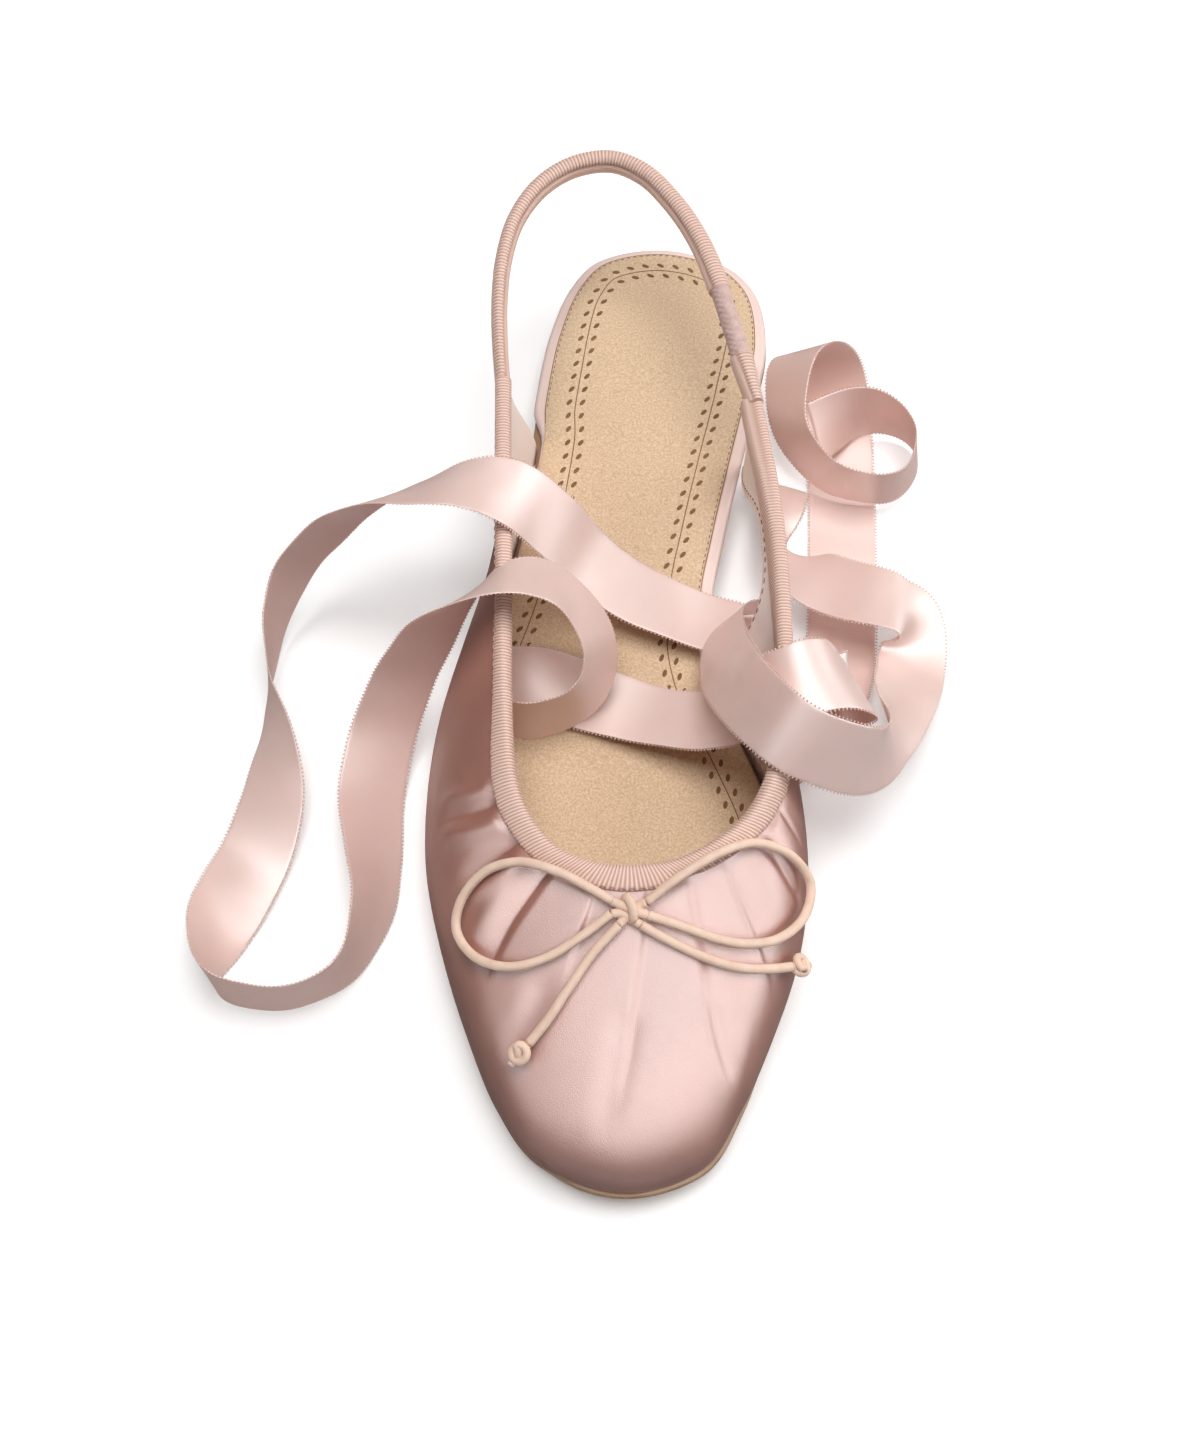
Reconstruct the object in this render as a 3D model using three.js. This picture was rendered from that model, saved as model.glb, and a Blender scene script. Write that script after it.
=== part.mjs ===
// Slingback ballet flat, right shoe: satin upper, leather sole, cord bow and ribbon ties.
// Millimetres, +Z up, toe towards -Y, the big-toe side towards +X.
import * as THREE from 'three';

// Driving sizes
const LENGTH = 248;
const MIDDLE_X = 6.95;
const OUTSOLE_THICK = 3.0;
const BOARD_THICK = 3.0;
const SOCK_THICK = 1.0;
const MEET_GAP = 0.3;
const WALL = 1.6;
const UPPER_INSET = 0.8;
const RIM_WIDTH = 3.0;
const BINDING_DEPTH = 4.2;
const BINDING_FLAP = 0.7;
const BINDING_CREST = 1.4;
const STRAP_TALL = 6.2;
const STRAP_THICK = 3.6;
const ELASTIC_TALL = 5.2;
const ELASTIC_THICK = 3.0;
const CORD_THICK = 2.2;
const CORD_STEP = 4.8;
const RIBBON_WIDE = 16.5;
const RIBBON_THICK = 0.8;

// Plan of the last: distance along the shoe, little-toe side and big-toe side
const PLAN = [
  { y: 119.5, lateral: -16.5, medial: 17.0 },
  { y: 110, lateral: -23.6, medial: 25.6 },
  { y: 94, lateral: -28.4, medial: 28.3 },
  { y: 76, lateral: -30.8, medial: 25.8 },
  { y: 56, lateral: -32.4, medial: 21.8 },
  { y: 36, lateral: -35.2, medial: 17.9 },
  { y: 18, lateral: -39.4, medial: 15.2 },
  { y: 0, lateral: -44.8, medial: 17.4 },
  { y: -18, lateral: -48.8, medial: 26.0 },
  { y: -36, lateral: -50.2, medial: 33.4 },
  { y: -54, lateral: -49.2, medial: 36.2 },
  { y: -72, lateral: -44.8, medial: 34.8 },
  { y: -90, lateral: -38.4, medial: 29.2 },
  { y: -106, lateral: -31.0, medial: 22.4 },
  { y: -118, lateral: -21.4, medial: 14.8 },
];
const HEEL_TIP = { x: 0, y: LENGTH / 2 };
const TOE_TIP = { x: -2.5, y: -LENGTH / 2 };

// Underside of the outsole: toe spring, flat tread, arch and heel seat
const UNDERSIDE = [
  { y: -124, z: 5.0 },
  { y: -104, z: 2.3 },
  { y: -86, z: 0.6 },
  { y: -74, z: 0.0 },
  { y: -54, z: 0.0 },
  { y: -32, z: 0.0 },
  { y: -14, z: 0.5 },
  { y: 8, z: 2.2 },
  { y: 32, z: 5.2 },
  { y: 56, z: 7.4 },
  { y: 84, z: 8.2 },
  { y: 124, z: 8.6 },
];

// Value of a smooth curve through table rows, with the slope limited so that flats stay flat
function alongTable(rows, key, value, at) {
  const up = rows[0][key] < rows[rows.length - 1][key];
  const list = up ? rows : [...rows].reverse();
  const n = list.length;
  const q = Math.min(Math.max(at, list[0][key]), list[n - 1][key]);
  let i = 0;
  while (i < n - 2 && q > list[i + 1][key]) i += 1;
  const rise = (k) => (list[k + 1][value] - list[k][value]) / (list[k + 1][key] - list[k][key]);
  const slope = (k) => {
    if (k === 0) return rise(0);
    if (k === n - 1) return rise(n - 2);
    const a = rise(k - 1);
    const b = rise(k);
    return a * b <= 0 ? 0 : (2 * a * b) / (a + b);
  };
  const span = list[i + 1][key] - list[i][key];
  const t = (q - list[i][key]) / span;
  const a = list[i][value];
  const b = list[i + 1][value];
  const ma = slope(i) * span;
  const mb = slope(i + 1) * span;
  const t2 = t * t;
  const t3 = t2 * t;
  return a * (2 * t3 - 3 * t2 + 1) + ma * (t3 - 2 * t2 + t) + b * (3 * t2 - 2 * t3) + mb * (t3 - t2);
}

const soleUnder = (y) => alongTable(UNDERSIDE, 'y', 'z', y);
const soleTop = (y) => soleUnder(y) + OUTSOLE_THICK;

// The plan as one closed curve, walked from the toe tip up the little-toe side and back
const planCurve = new THREE.CatmullRomCurve3(
  [
    new THREE.Vector3(TOE_TIP.x, TOE_TIP.y, 0),
    ...[...PLAN].reverse().map((r) => new THREE.Vector3(r.lateral, r.y, 0)),
    new THREE.Vector3(HEEL_TIP.x, HEEL_TIP.y, 0),
    ...PLAN.map((r) => new THREE.Vector3(r.medial, r.y, 0)),
  ],
  true,
  'centripetal',
);
const PLAN_STEPS = 720;
const planPoints = planCurve.getPoints(PLAN_STEPS).slice(0, PLAN_STEPS);

// The plan moved inwards; the inset may differ by side and by place along the shoe
function insetPlan(inset) {
  return planPoints.map((p, i) => {
    const before = planPoints[(i + PLAN_STEPS - 1) % PLAN_STEPS];
    const after = planPoints[(i + 1) % PLAN_STEPS];
    const along = after.clone().sub(before).normalize();
    const inward = new THREE.Vector3(along.y, -along.x, 0);
    const side = p.x < -2 ? 'lateral' : 'medial';
    return p.clone().addScaledVector(inward, inset(side, p.y));
  });
}

// Width of an inset plan at a place along the shoe, as two edge points
function planSides(points) {
  let toe = 0;
  let heel = 0;
  points.forEach((p, i) => {
    if (p.y < points[toe].y) toe = i;
    if (p.y > points[heel].y) heel = i;
  });
  const lateral = [];
  const medial = [];
  for (let i = toe; i !== heel; i = (i + 1) % points.length) lateral.push(points[i]);
  lateral.push(points[heel]);
  for (let i = heel; i !== toe; i = (i + 1) % points.length) medial.unshift(points[i]);
  medial.unshift(points[toe]);
  const crossing = (edge) => (y) => {
    let k = 0;
    while (k < edge.length - 2 && edge[k + 1].y < y) k += 1;
    const a = edge[k];
    const b = edge[k + 1];
    const t = b.y === a.y ? 0 : (y - a.y) / (b.y - a.y);
    return a.x + (b.x - a.x) * Math.min(Math.max(t, 0), 1);
  };
  return { toe: points[toe], heel: points[heel], lateral: crossing(lateral), medial: crossing(medial) };
}

// Gathers triangles and closes them into a mesh
class Shell {
  constructor() {
    this.spots = [];
    this.faces = [];
  }
  add(v) {
    this.spots.push(v.x, v.y, v.z);
    return this.spots.length / 3 - 1;
  }
  tri(a, b, c) {
    this.faces.push(a, b, c);
  }
  quad(a, b, c, d) {
    this.tri(a, b, c);
    this.tri(a, c, d);
  }
  geometry() {
    const g = new THREE.BufferGeometry();
    g.setAttribute('position', new THREE.Float32BufferAttribute(this.spots, 3));
    g.setIndex(this.faces);
    g.computeVertexNormals();
    return g;
  }
}

// A slab with the shoe's plan: levels from the bottom up, each with an inset and a height
const SLAB_ROWS = 40;
function slab(levels, from, to) {
  const shell = new Shell();
  const rings = levels.map((level) => {
    const sides = planSides(insetPlan(level.inset));
    const first = from === undefined ? sides.toe.y : from;
    const last = to === undefined ? sides.heel.y : to;
    const cutFront = from !== undefined;
    const ys = [];
    for (let i = 1; i < SLAB_ROWS; i += 1) {
      const t = i / SLAB_ROWS;
      const eased = cutFront ? Math.sin((t * Math.PI) / 2) : (1 - Math.cos(t * Math.PI)) / 2;
      ys.push(first + (last - first) * eased);
    }
    const spot = (x, y) => shell.add(new THREE.Vector3(x, y, level.height(y)));
    const tipX = cutFront ? (sides.lateral(first) + sides.medial(first)) / 2 : sides.toe.x;
    const front = cutFront
      ? [spot(sides.medial(first), first), spot(tipX, first), spot(sides.lateral(first), first)]
      : [spot(tipX, first)];
    const lateral = ys.map((y) => spot(sides.lateral(y), y));
    const heel = spot(sides.heel.x, last);
    const medial = ys.map((y) => spot(sides.medial(y), y));
    return { front, lateral, heel, medial };
  });
  const loop = (r) => [...r.front, ...r.lateral, r.heel, ...[...r.medial].reverse()];
  for (let k = 0; k + 1 < rings.length; k += 1) {
    const low = loop(rings[k]);
    const high = loop(rings[k + 1]);
    for (let i = 0; i < low.length; i += 1) {
      const j = (i + 1) % low.length;
      shell.quad(low[i], high[i], high[j], low[j]);
    }
  }
  const cap = (r, top) => {
    const face = (a, b, c) => (top ? shell.tri(a, b, c) : shell.tri(a, c, b));
    const n = r.lateral.length;
    if (r.front.length === 1) {
      face(r.front[0], r.medial[0], r.lateral[0]);
    } else {
      face(r.front[1], r.front[0], r.medial[0]);
      face(r.front[1], r.medial[0], r.lateral[0]);
      face(r.front[1], r.lateral[0], r.front[2]);
    }
    for (let i = 0; i + 1 < n; i += 1) {
      face(r.lateral[i], r.medial[i], r.medial[i + 1]);
      face(r.lateral[i], r.medial[i + 1], r.lateral[i + 1]);
    }
    face(r.lateral[n - 1], r.medial[n - 1], r.heel);
  };
  cap(rings[0], false);
  cap(rings[rings.length - 1], true);
  return shell.geometry();
}

const satin = new THREE.MeshStandardMaterial({ color: 0xe9b9ae, roughness: 0.35 });
const grosgrain = new THREE.MeshStandardMaterial({ color: 0xd9a79c, roughness: 0.7 });
const knit = new THREE.MeshStandardMaterial({ color: 0xb98e8a, roughness: 0.9 });
const kraft = new THREE.MeshStandardMaterial({ color: 0xc79a72, roughness: 0.85 });
const leather = new THREE.MeshStandardMaterial({ color: 0xb98a62, roughness: 0.7 });
const cord = new THREE.MeshStandardMaterial({ color: 0xd9a98c, roughness: 0.8 });

const shoe = new THREE.Group();
function piece(name, geometry, material) {
  geometry.translate(MIDDLE_X, 0, 0);
  const mesh = new THREE.Mesh(geometry, material);
  mesh.name = name;
  shoe.add(mesh);
}

// Outsole and heel lift
piece(
  'outsole',
  slab([
    { inset: () => 0.8, height: (y) => soleUnder(y) },
    { inset: () => 0, height: (y) => soleUnder(y) + 0.8 },
    { inset: () => 0, height: (y) => soleTop(y) },
  ]),
  leather,
);
const HEEL_BREAST = 58;
piece(
  'heel',
  slab(
    [
      { inset: () => 2.2, height: () => 0 },
      { inset: () => 1.5, height: () => 0.7 },
      { inset: () => 0.9, height: (y) => soleUnder(y) - MEET_GAP },
    ],
    HEEL_BREAST,
  ),
  leather,
);

// Satin-wrapped insole board: inside the upper in front, flush with the sole edge behind
const BOARD_STEPS_OUT = { lateral: { from: 62, to: 72 }, medial: { from: 6, to: 16 } };
const BOARD_FRONT_INSET = UPPER_INSET + WALL + 0.9;
function boardInset(side, y) {
  const step = BOARD_STEPS_OUT[side];
  const t = THREE.MathUtils.smoothstep(y, step.from, step.to);
  return BOARD_FRONT_INSET * (1 - t) + 0.2 * t;
}
piece(
  'insole_board',
  slab([
    { inset: (s, y) => boardInset(s, y) + 0.8, height: (y) => soleTop(y) + MEET_GAP },
    { inset: (s, y) => boardInset(s, y), height: (y) => soleTop(y) + MEET_GAP + 1.0 },
    { inset: (s, y) => boardInset(s, y) + 0.2, height: (y) => soleTop(y) + MEET_GAP + 2.2 },
    { inset: (s, y) => boardInset(s, y) + 1.0, height: (y) => soleTop(y) + MEET_GAP + BOARD_THICK },
  ]),
  satin,
);
const boardTop = (y) => soleTop(y) + MEET_GAP + BOARD_THICK;
function sockInset(side, y) {
  const step = BOARD_STEPS_OUT[side];
  const t = THREE.MathUtils.smoothstep(y, step.from, step.to);
  return (BOARD_FRONT_INSET + 0.8) * (1 - t) + (0.2 + RIM_WIDTH) * t;
}
piece(
  'insole',
  slab([
    { inset: (s, y) => sockInset(s, y), height: (y) => boardTop(y) + MEET_GAP },
    { inset: (s, y) => sockInset(s, y), height: (y) => boardTop(y) + MEET_GAP + SOCK_THICK },
  ]),
  kraft,
);

// Upper: ribs from the sole edge to the collar, walked from the little-toe quarter round the toe.
// foot: place along the shoe where the rib stands, and out: how far outside the usual line, if at all;
// x, y, z: its top at the collar; bulge and rise: how it leaves the sole; reach and drop: how it
// comes to the collar; cut: the share of the rib, if any, that the side opening takes away
const RIBS = [
  { side: 'lateral', foot: 61, x: -36.2, y: 55, z: 47.5, bulge: 0.6, rise: 11, reach: -0.4, drop: 12 },
  { side: 'lateral', foot: 32, x: -34.8, y: 29, z: 45.0, bulge: 1.6, rise: 12, reach: 0.6, drop: 12 },
  { side: 'lateral', foot: 2, x: -33.0, y: 2, z: 42.0, bulge: 2.6, rise: 15, reach: 5, drop: 11 },
  { side: 'lateral', foot: -28, x: -31.6, y: -23, z: 39.5, bulge: 3.0, rise: 18, reach: 10, drop: 8 },
  { side: 'lateral', foot: -58, x: -28.8, y: -44.5, z: 38.2, bulge: 2.8, rise: 18, reach: 14, drop: 6 },
  { side: 'lateral', foot: -88, x: -21.8, y: -56.6, z: 37.6, bulge: 2.0, rise: 18, reach: 20, drop: 7 },
  { side: 'lateral', foot: -112, x: -12.8, y: -61.4, z: 37.2, bulge: 1.2, rise: 17, reach: 28, drop: 9 },
  { side: 'toe', foot: -124, x: -3.6, y: -62.6, z: 37.0, bulge: 0.7, rise: 16, reach: 33, drop: 10.5 },
  { side: 'medial', foot: -112, x: 5.8, y: -60.8, z: 37.2, bulge: 1.2, rise: 17, reach: 28, drop: 9 },
  { side: 'medial', foot: -90, x: 15.0, y: -56.0, z: 37.6, bulge: 2.0, rise: 18, reach: 19, drop: 7 },
  { side: 'medial', foot: -64, x: 23.0, y: -48, z: 38.0, bulge: 2.6, rise: 18, reach: 11, drop: 7 },
  { side: 'medial', foot: -40, x: 27.8, y: -36, z: 39.0, bulge: 2.6, rise: 15, reach: 6, drop: 10 },
  { side: 'medial', foot: -18, x: 29.4, y: -17, z: 40.6, bulge: 2.0, rise: 12, reach: 1, drop: 12 },
  { side: 'medial', foot: -5, x: 29.2, y: -5, z: 41.8, bulge: 1.6, rise: 11, reach: -1, drop: 12 },
  {
    side: 'medial', foot: 4, out: 0.8, x: 28.6, y: 6, z: 43.0,
    bulge: 1.4, rise: 10, reach: -2, drop: 12, cut: 0.66,
  },
  {
    side: 'medial', foot: 16, out: 1.5, x: 27.5, y: 18.5, z: 44.5,
    bulge: 1.2, rise: 10, reach: -2, drop: 12, cut: 0.8,
  },
  {
    side: 'medial', foot: 30, out: 2.2, x: 25.9, y: 30.5, z: 46.0,
    bulge: 1.0, rise: 10, reach: -1, drop: 12, cut: 0.7,
  },
  {
    side: 'medial', foot: 44, out: 2.7, x: 24.0, y: 41.5, z: 47.1,
    bulge: 0.8, rise: 10, reach: 0, drop: 12, cut: 0.4,
  },
  {
    side: 'medial', foot: 57, out: 2.7, x: 22.3, y: 50.5, z: 48.1,
    bulge: 0.6, rise: 10, reach: 0, drop: 12, cut: 0.04,
  },
];

// The line where the upper stands on the sole, measured in steps of the closed plan from the toe
const standPoints = insetPlan(() => UPPER_INSET);
function standStep(rib) {
  if (rib.side === 'toe') return 0;
  let best = 0;
  standPoints.forEach((p, i) => {
    const lateral = i <= PLAN_STEPS / 2;
    if (lateral !== (rib.side === 'lateral')) return;
    if (Math.abs(p.y - rib.foot) < Math.abs(standPoints[best].y - rib.foot)) best = i;
  });
  return rib.side === 'lateral' ? -best : PLAN_STEPS - best;
}
function standAt(step) {
  const s = ((-step % PLAN_STEPS) + PLAN_STEPS) % PLAN_STEPS;
  const i = Math.floor(s) % PLAN_STEPS;
  const j = (i + 1) % PLAN_STEPS;
  return standPoints[i].clone().lerp(standPoints[j], s - Math.floor(s));
}
function spline(values, at) {
  const n = values.length;
  const i = Math.min(Math.floor(at), n - 2);
  const t = at - i;
  const p1 = values[i];
  const p2 = values[i + 1];
  const p0 = i > 0 ? values[i - 1] : 2 * p1 - p2;
  const p3 = i + 2 < n ? values[i + 2] : 2 * p2 - p1;
  const a = 2 * p1;
  const b = p2 - p0;
  const c = 2 * p0 - 5 * p1 + 4 * p2 - p3;
  const d = 3 * p1 - p0 - 3 * p2 + p3;
  return 0.5 * (a + b * t + c * t * t + d * t * t * t);
}
const ribColumn = (key) => RIBS.map((r) => r[key] ?? 0);
const standColumn = RIBS.map(standStep);

// A point of the upper's middle surface: s along the ribs from 0 to 1, t from sole to collar
function upperPoint(s, t) {
  const at = s * (RIBS.length - 1);
  const step = spline(standColumn, at);
  const stand = standAt(step);
  const out = standAt(step + 1).sub(standAt(step - 1)).normalize();
  const outward = new THREE.Vector3(out.y, -out.x, 0);
  const get = (key) => spline(ribColumn(key), at);
  const p0 = stand.clone().addScaledVector(outward, get('out') - WALL / 2);
  p0.z = soleTop(stand.y) + MEET_GAP;
  const p3 = new THREE.Vector3(get('x'), get('y'), get('z'));
  const p1 = p0.clone().addScaledVector(outward, get('bulge'));
  p1.z += get('rise');
  const p2 = p3.clone().addScaledVector(outward, get('reach'));
  p2.z -= get('drop');
  const u = 1 - t;
  return new THREE.Vector3()
    .addScaledVector(p0, u * u * u)
    .addScaledVector(p1, 3 * u * u * t)
    .addScaledVector(p2, 3 * u * t * t)
    .addScaledVector(p3, t * t * t);
}
function upperNormal(s, t) {
  const e = 0.002;
  const ds = upperPoint(Math.min(s + e, 1), t).sub(upperPoint(Math.max(s - e, 0), t));
  const dt = upperPoint(s, Math.min(t + e, 1)).sub(upperPoint(s, Math.max(t - e, 0)));
  return ds.cross(dt).normalize();
}
const UPPER_LONG = 84;
const UPPER_HIGH = 9;
const ribCut = (s) => Math.max(spline(ribColumn('cut'), s * (RIBS.length - 1)), 0);
function upperShell() {
  const shell = new Shell();
  const skins = [1, -1].map((sign) => {
    const grid = [];
    for (let i = 0; i <= UPPER_LONG; i += 1) {
      const row = [];
      for (let j = 0; j <= UPPER_HIGH; j += 1) {
        const s = i / UPPER_LONG;
        const cut = ribCut(s);
        const t = cut + ((1 - cut) * j) / UPPER_HIGH;
        const mid = upperPoint(s, t);
        const p = mid.clone().addScaledVector(upperNormal(s, t), (sign * WALL) / 2);
        if (j === 0) p.z = mid.z;
        row.push(shell.add(p));
      }
      grid.push(row);
    }
    return grid;
  });
  const [outer, inner] = skins;
  for (let i = 0; i < UPPER_LONG; i += 1) {
    for (let j = 0; j < UPPER_HIGH; j += 1) {
      shell.quad(outer[i][j], outer[i + 1][j], outer[i + 1][j + 1], outer[i][j + 1]);
      shell.quad(inner[i][j], inner[i][j + 1], inner[i + 1][j + 1], inner[i + 1][j]);
    }
    shell.quad(outer[i][0], inner[i][0], inner[i + 1][0], outer[i + 1][0]);
    const h = UPPER_HIGH;
    shell.quad(outer[i][h], outer[i + 1][h], inner[i + 1][h], inner[i][h]);
  }
  for (let j = 0; j < UPPER_HIGH; j += 1) {
    const n = UPPER_LONG;
    shell.quad(outer[0][j], outer[0][j + 1], inner[0][j + 1], inner[0][j]);
    shell.quad(outer[n][j], inner[n][j], inner[n][j + 1], outer[n][j + 1]);
  }
  return shell.geometry();
}
piece('upper', upperShell(), satin);

// Grosgrain binding folded over the collar edge
function bindingShell() {
  const shell = new Shell();
  const near = WALL / 2 + MEET_GAP;
  const far = near + BINDING_FLAP;
  const rings = [];
  for (let i = UPPER_LONG; i >= 0; i -= 1) {
    const s = i / UPPER_LONG;
    const top = upperPoint(s, 1);
    const speed = top.distanceTo(upperPoint(s, 0.99)) / 0.01;
    const up = top.clone().sub(upperPoint(s, 0.99)).normalize();
    const at = (depth, off) => {
      const t = 1 - depth / speed;
      return upperPoint(s, t).addScaledVector(upperNormal(s, t), off);
    };
    const out = upperNormal(s, 1);
    const over = (rise, off) => top.clone().addScaledVector(up, rise).addScaledVector(out, off);
    const d = BINDING_DEPTH;
    rings.push(
      [
        at(d, near), at(d, far - 0.2), at(d * 0.4, far + 0.15), over(0.6, far - 0.1),
        over(BINDING_CREST, far * 0.45), over(BINDING_CREST, -far * 0.45),
        over(0.6, 0.1 - far), at(d * 0.4, -far - 0.15), at(d, 0.2 - far),
        at(d, -near), over(MEET_GAP, -near), over(MEET_GAP, near),
      ].map((p) => shell.add(p)),
    );
  }
  closeSweep(shell, rings, [
    [0, 1, 2, 11], [2, 3, 11], [3, 4, 11], [4, 5, 10, 11], [5, 6, 10], [6, 7, 10], [7, 8, 9, 10],
  ]);
  return shell.geometry();
}
// Joins rings into a tube and closes its two ends with the given fan of corner numbers; the sides
// listed in turned are split along their other diagonal
function closeSweep(shell, rings, endFaces, turned = []) {
  const n = rings[0].length;
  for (let i = 0; i + 1 < rings.length; i += 1) {
    for (let k = 0; k < n; k += 1) {
      const m = (k + 1) % n;
      const corners = [rings[i][k], rings[i][m], rings[i + 1][m], rings[i + 1][k]];
      if (turned.includes(k)) corners.push(corners.shift());
      shell.quad(...corners);
    }
  }
  const last = rings[rings.length - 1];
  endFaces.forEach((f) => {
    for (let k = 1; k + 1 < f.length; k += 1) {
      shell.tri(rings[0][f[0]], rings[0][f[k + 1]], rings[0][f[k]]);
      shell.tri(last[f[0]], last[f[k]], last[f[k + 1]]);
    }
  });
}
piece('collar_binding', bindingShell(), grosgrain);

// A sweep with an oval section along hand-placed points
function route(points) {
  const places = points.map((p) => new THREE.Vector3(p.x, p.y, p.z));
  return new THREE.CatmullRomCurve3(places, false, 'centripetal');
}
const UP = new THREE.Vector3(0, 0, 1);
const OVAL_SIDES = 8;
function ovalSweep(curve, from, to, stations, tall, thick) {
  const shell = new Shell();
  const rings = [];
  for (let i = 0; i <= stations; i += 1) {
    const u = from + ((to - from) * i) / stations;
    const c = curve.getPointAt(u);
    const along = curve.getTangentAt(u);
    const side = along.clone().cross(UP).normalize();
    const up = side.clone().cross(along).normalize();
    const ring = [];
    for (let k = 0; k < OVAL_SIDES; k += 1) {
      const a = (-2 * Math.PI * k) / OVAL_SIDES;
      ring.push(
        shell.add(
          c.clone()
            .addScaledVector(side, (Math.cos(a) * thick) / 2)
            .addScaledVector(up, (Math.sin(a) * tall) / 2),
        ),
      );
    }
    rings.push(ring);
  }
  const fan = [];
  for (let k = 1; k + 1 < OVAL_SIDES; k += 1) fan.push([0, k, k + 1]);
  closeSweep(shell, rings, fan);
  return shell.geometry();
}

// Slingback: from the little-toe end of the binding round behind the heel, slack towards that side
const STRAP = [
  { x: -36.4, y: 55.3, z: 46.8 },
  { x: -37.4, y: 64, z: 47.8 },
  { x: -38.2, y: 76, z: 49.2 },
  { x: -37.8, y: 88, z: 50.5 },
  { x: -35.4, y: 99.4, z: 51.6 },
  { x: -29.8, y: 109.6, z: 52.2 },
  { x: -22.0, y: 116.0, z: 52.4 },
  { x: -13.0, y: 118.0, z: 52.4 },
  { x: -5.0, y: 114.4, z: 52.2 },
  { x: 2.6, y: 105.6, z: 51.8 },
  { x: 8.8, y: 94.6, z: 51.4 },
  { x: 13.4, y: 82.4, z: 50.6 },
  { x: 17.6, y: 68.0, z: 49.4 },
  { x: 20.6, y: 57.0, z: 48.2 },
  { x: 22.3, y: 50.8, z: 47.5 },
];
const strapLine = route(STRAP);
const ELASTIC = { from: 0.8, to: 0.925 };
const gap = MEET_GAP / strapLine.getLength();
const STATIONS = { lateral: 36, elastic: 10, medial: 6 };
const tape = (from, to, stations) => ovalSweep(strapLine, from, to, stations, STRAP_TALL, STRAP_THICK);
piece('strap_lateral', tape(gap, ELASTIC.from, STATIONS.lateral), grosgrain);
piece(
  'strap_elastic',
  ovalSweep(strapLine, ELASTIC.from + gap, ELASTIC.to - gap, STATIONS.elastic, ELASTIC_TALL, ELASTIC_THICK),
  knit,
);
piece('strap_medial', tape(ELASTIC.to, 1 - gap, STATIONS.medial), grosgrain);

// Cord bow on the throat: two loops and two ends that leave one knot
const BOW_KNOT = { x: -3.2, y: -71.1, z: 37.6, half: { x: 3.1, y: 2.4, z: 2.0 } };
const BOW = {
  bow_loop_lateral: [
    { x: -6.8, y: -69.7, z: 38.2 },
    { x: -11.0, y: -67.6, z: 39.2 },
    { x: -18.0, y: -64.6, z: 40.6 },
    { x: -26.4, y: -62.0, z: 39.0 },
    { x: -33.8, y: -63.2, z: 35.6 },
    { x: -38.8, y: -68.4, z: 31.0 },
    { x: -39.4, y: -73.8, z: 28.6 },
    { x: -35.2, y: -79.8, z: 29.8 },
    { x: -28.0, y: -82.6, z: 32.0 },
    { x: -20.0, y: -81.0, z: 33.8 },
    { x: -12.4, y: -76.4, z: 35.9 },
    { x: -6.9, y: -72.2, z: 37.4 },
  ],
  bow_loop_medial: [
    { x: 0.4, y: -69.7, z: 38.2 },
    { x: 7.2, y: -64.6, z: 40.6 },
    { x: 16.2, y: -59.0, z: 41.4 },
    { x: 22.8, y: -56.2, z: 39.4 },
    { x: 30.6, y: -56.8, z: 34.8 },
    { x: 35.4, y: -60.8, z: 28.6 },
    { x: 34.2, y: -67.6, z: 27.8 },
    { x: 28.2, y: -74.2, z: 31.0 },
    { x: 21.2, y: -76.4, z: 33.6 },
    { x: 15.8, y: -76.1, z: 34.8 },
    { x: 7.6, y: -74.0, z: 36.4 },
    { x: 0.6, y: -72.2, z: 37.4 },
  ],
  bow_end_lateral: [
    { x: -5.2, y: -74.4, z: 36.7 },
    { x: -10.2, y: -79.8, z: 34.9 },
    { x: -15.4, y: -87.4, z: 32.4 },
    { x: -19.4, y: -93.4, z: 30.2 },
    { x: -22.9, y: -97.6, z: 28.1 },
  ],
  bow_end_medial: [
    { x: -0.6, y: -74.2, z: 36.6 },
    { x: 5.6, y: -77.0, z: 35.2 },
    { x: 12.6, y: -79.6, z: 33.6 },
    { x: 20.6, y: -81.0, z: 31.6 },
    { x: 27.2, y: -80.0, z: 28.8 },
    { x: 31.6, y: -78.2, z: 25.2 },
  ],
};
const END_KNOTS = {
  end_knot_lateral: { x: -24.6, y: -99.4, z: 27.2, half: { x: 2.3, y: 2.1, z: 2.1 } },
  end_knot_medial: { x: 33.4, y: -77.4, z: 23.3, half: { x: 2.1, y: 2.1, z: 2.3 } },
};
const KNOT_FACETS = { round: 12, high: 8 };
function knot(place) {
  const g = new THREE.SphereGeometry(1, KNOT_FACETS.round, KNOT_FACETS.high);
  g.scale(place.half.x, place.half.y, place.half.z);
  g.translate(place.x, place.y, place.z);
  return g;
}
Object.entries(BOW).forEach(([name, points]) => {
  const line = route(points);
  const steps = Math.round(line.getLength() / CORD_STEP);
  piece(name, ovalSweep(line, 0, 1, steps, CORD_THICK, CORD_THICK), cord);
});
piece('bow_knot', knot(BOW_KNOT), cord);
Object.entries(END_KNOTS).forEach(([name, place]) => piece(name, knot(place), cord));

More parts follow.
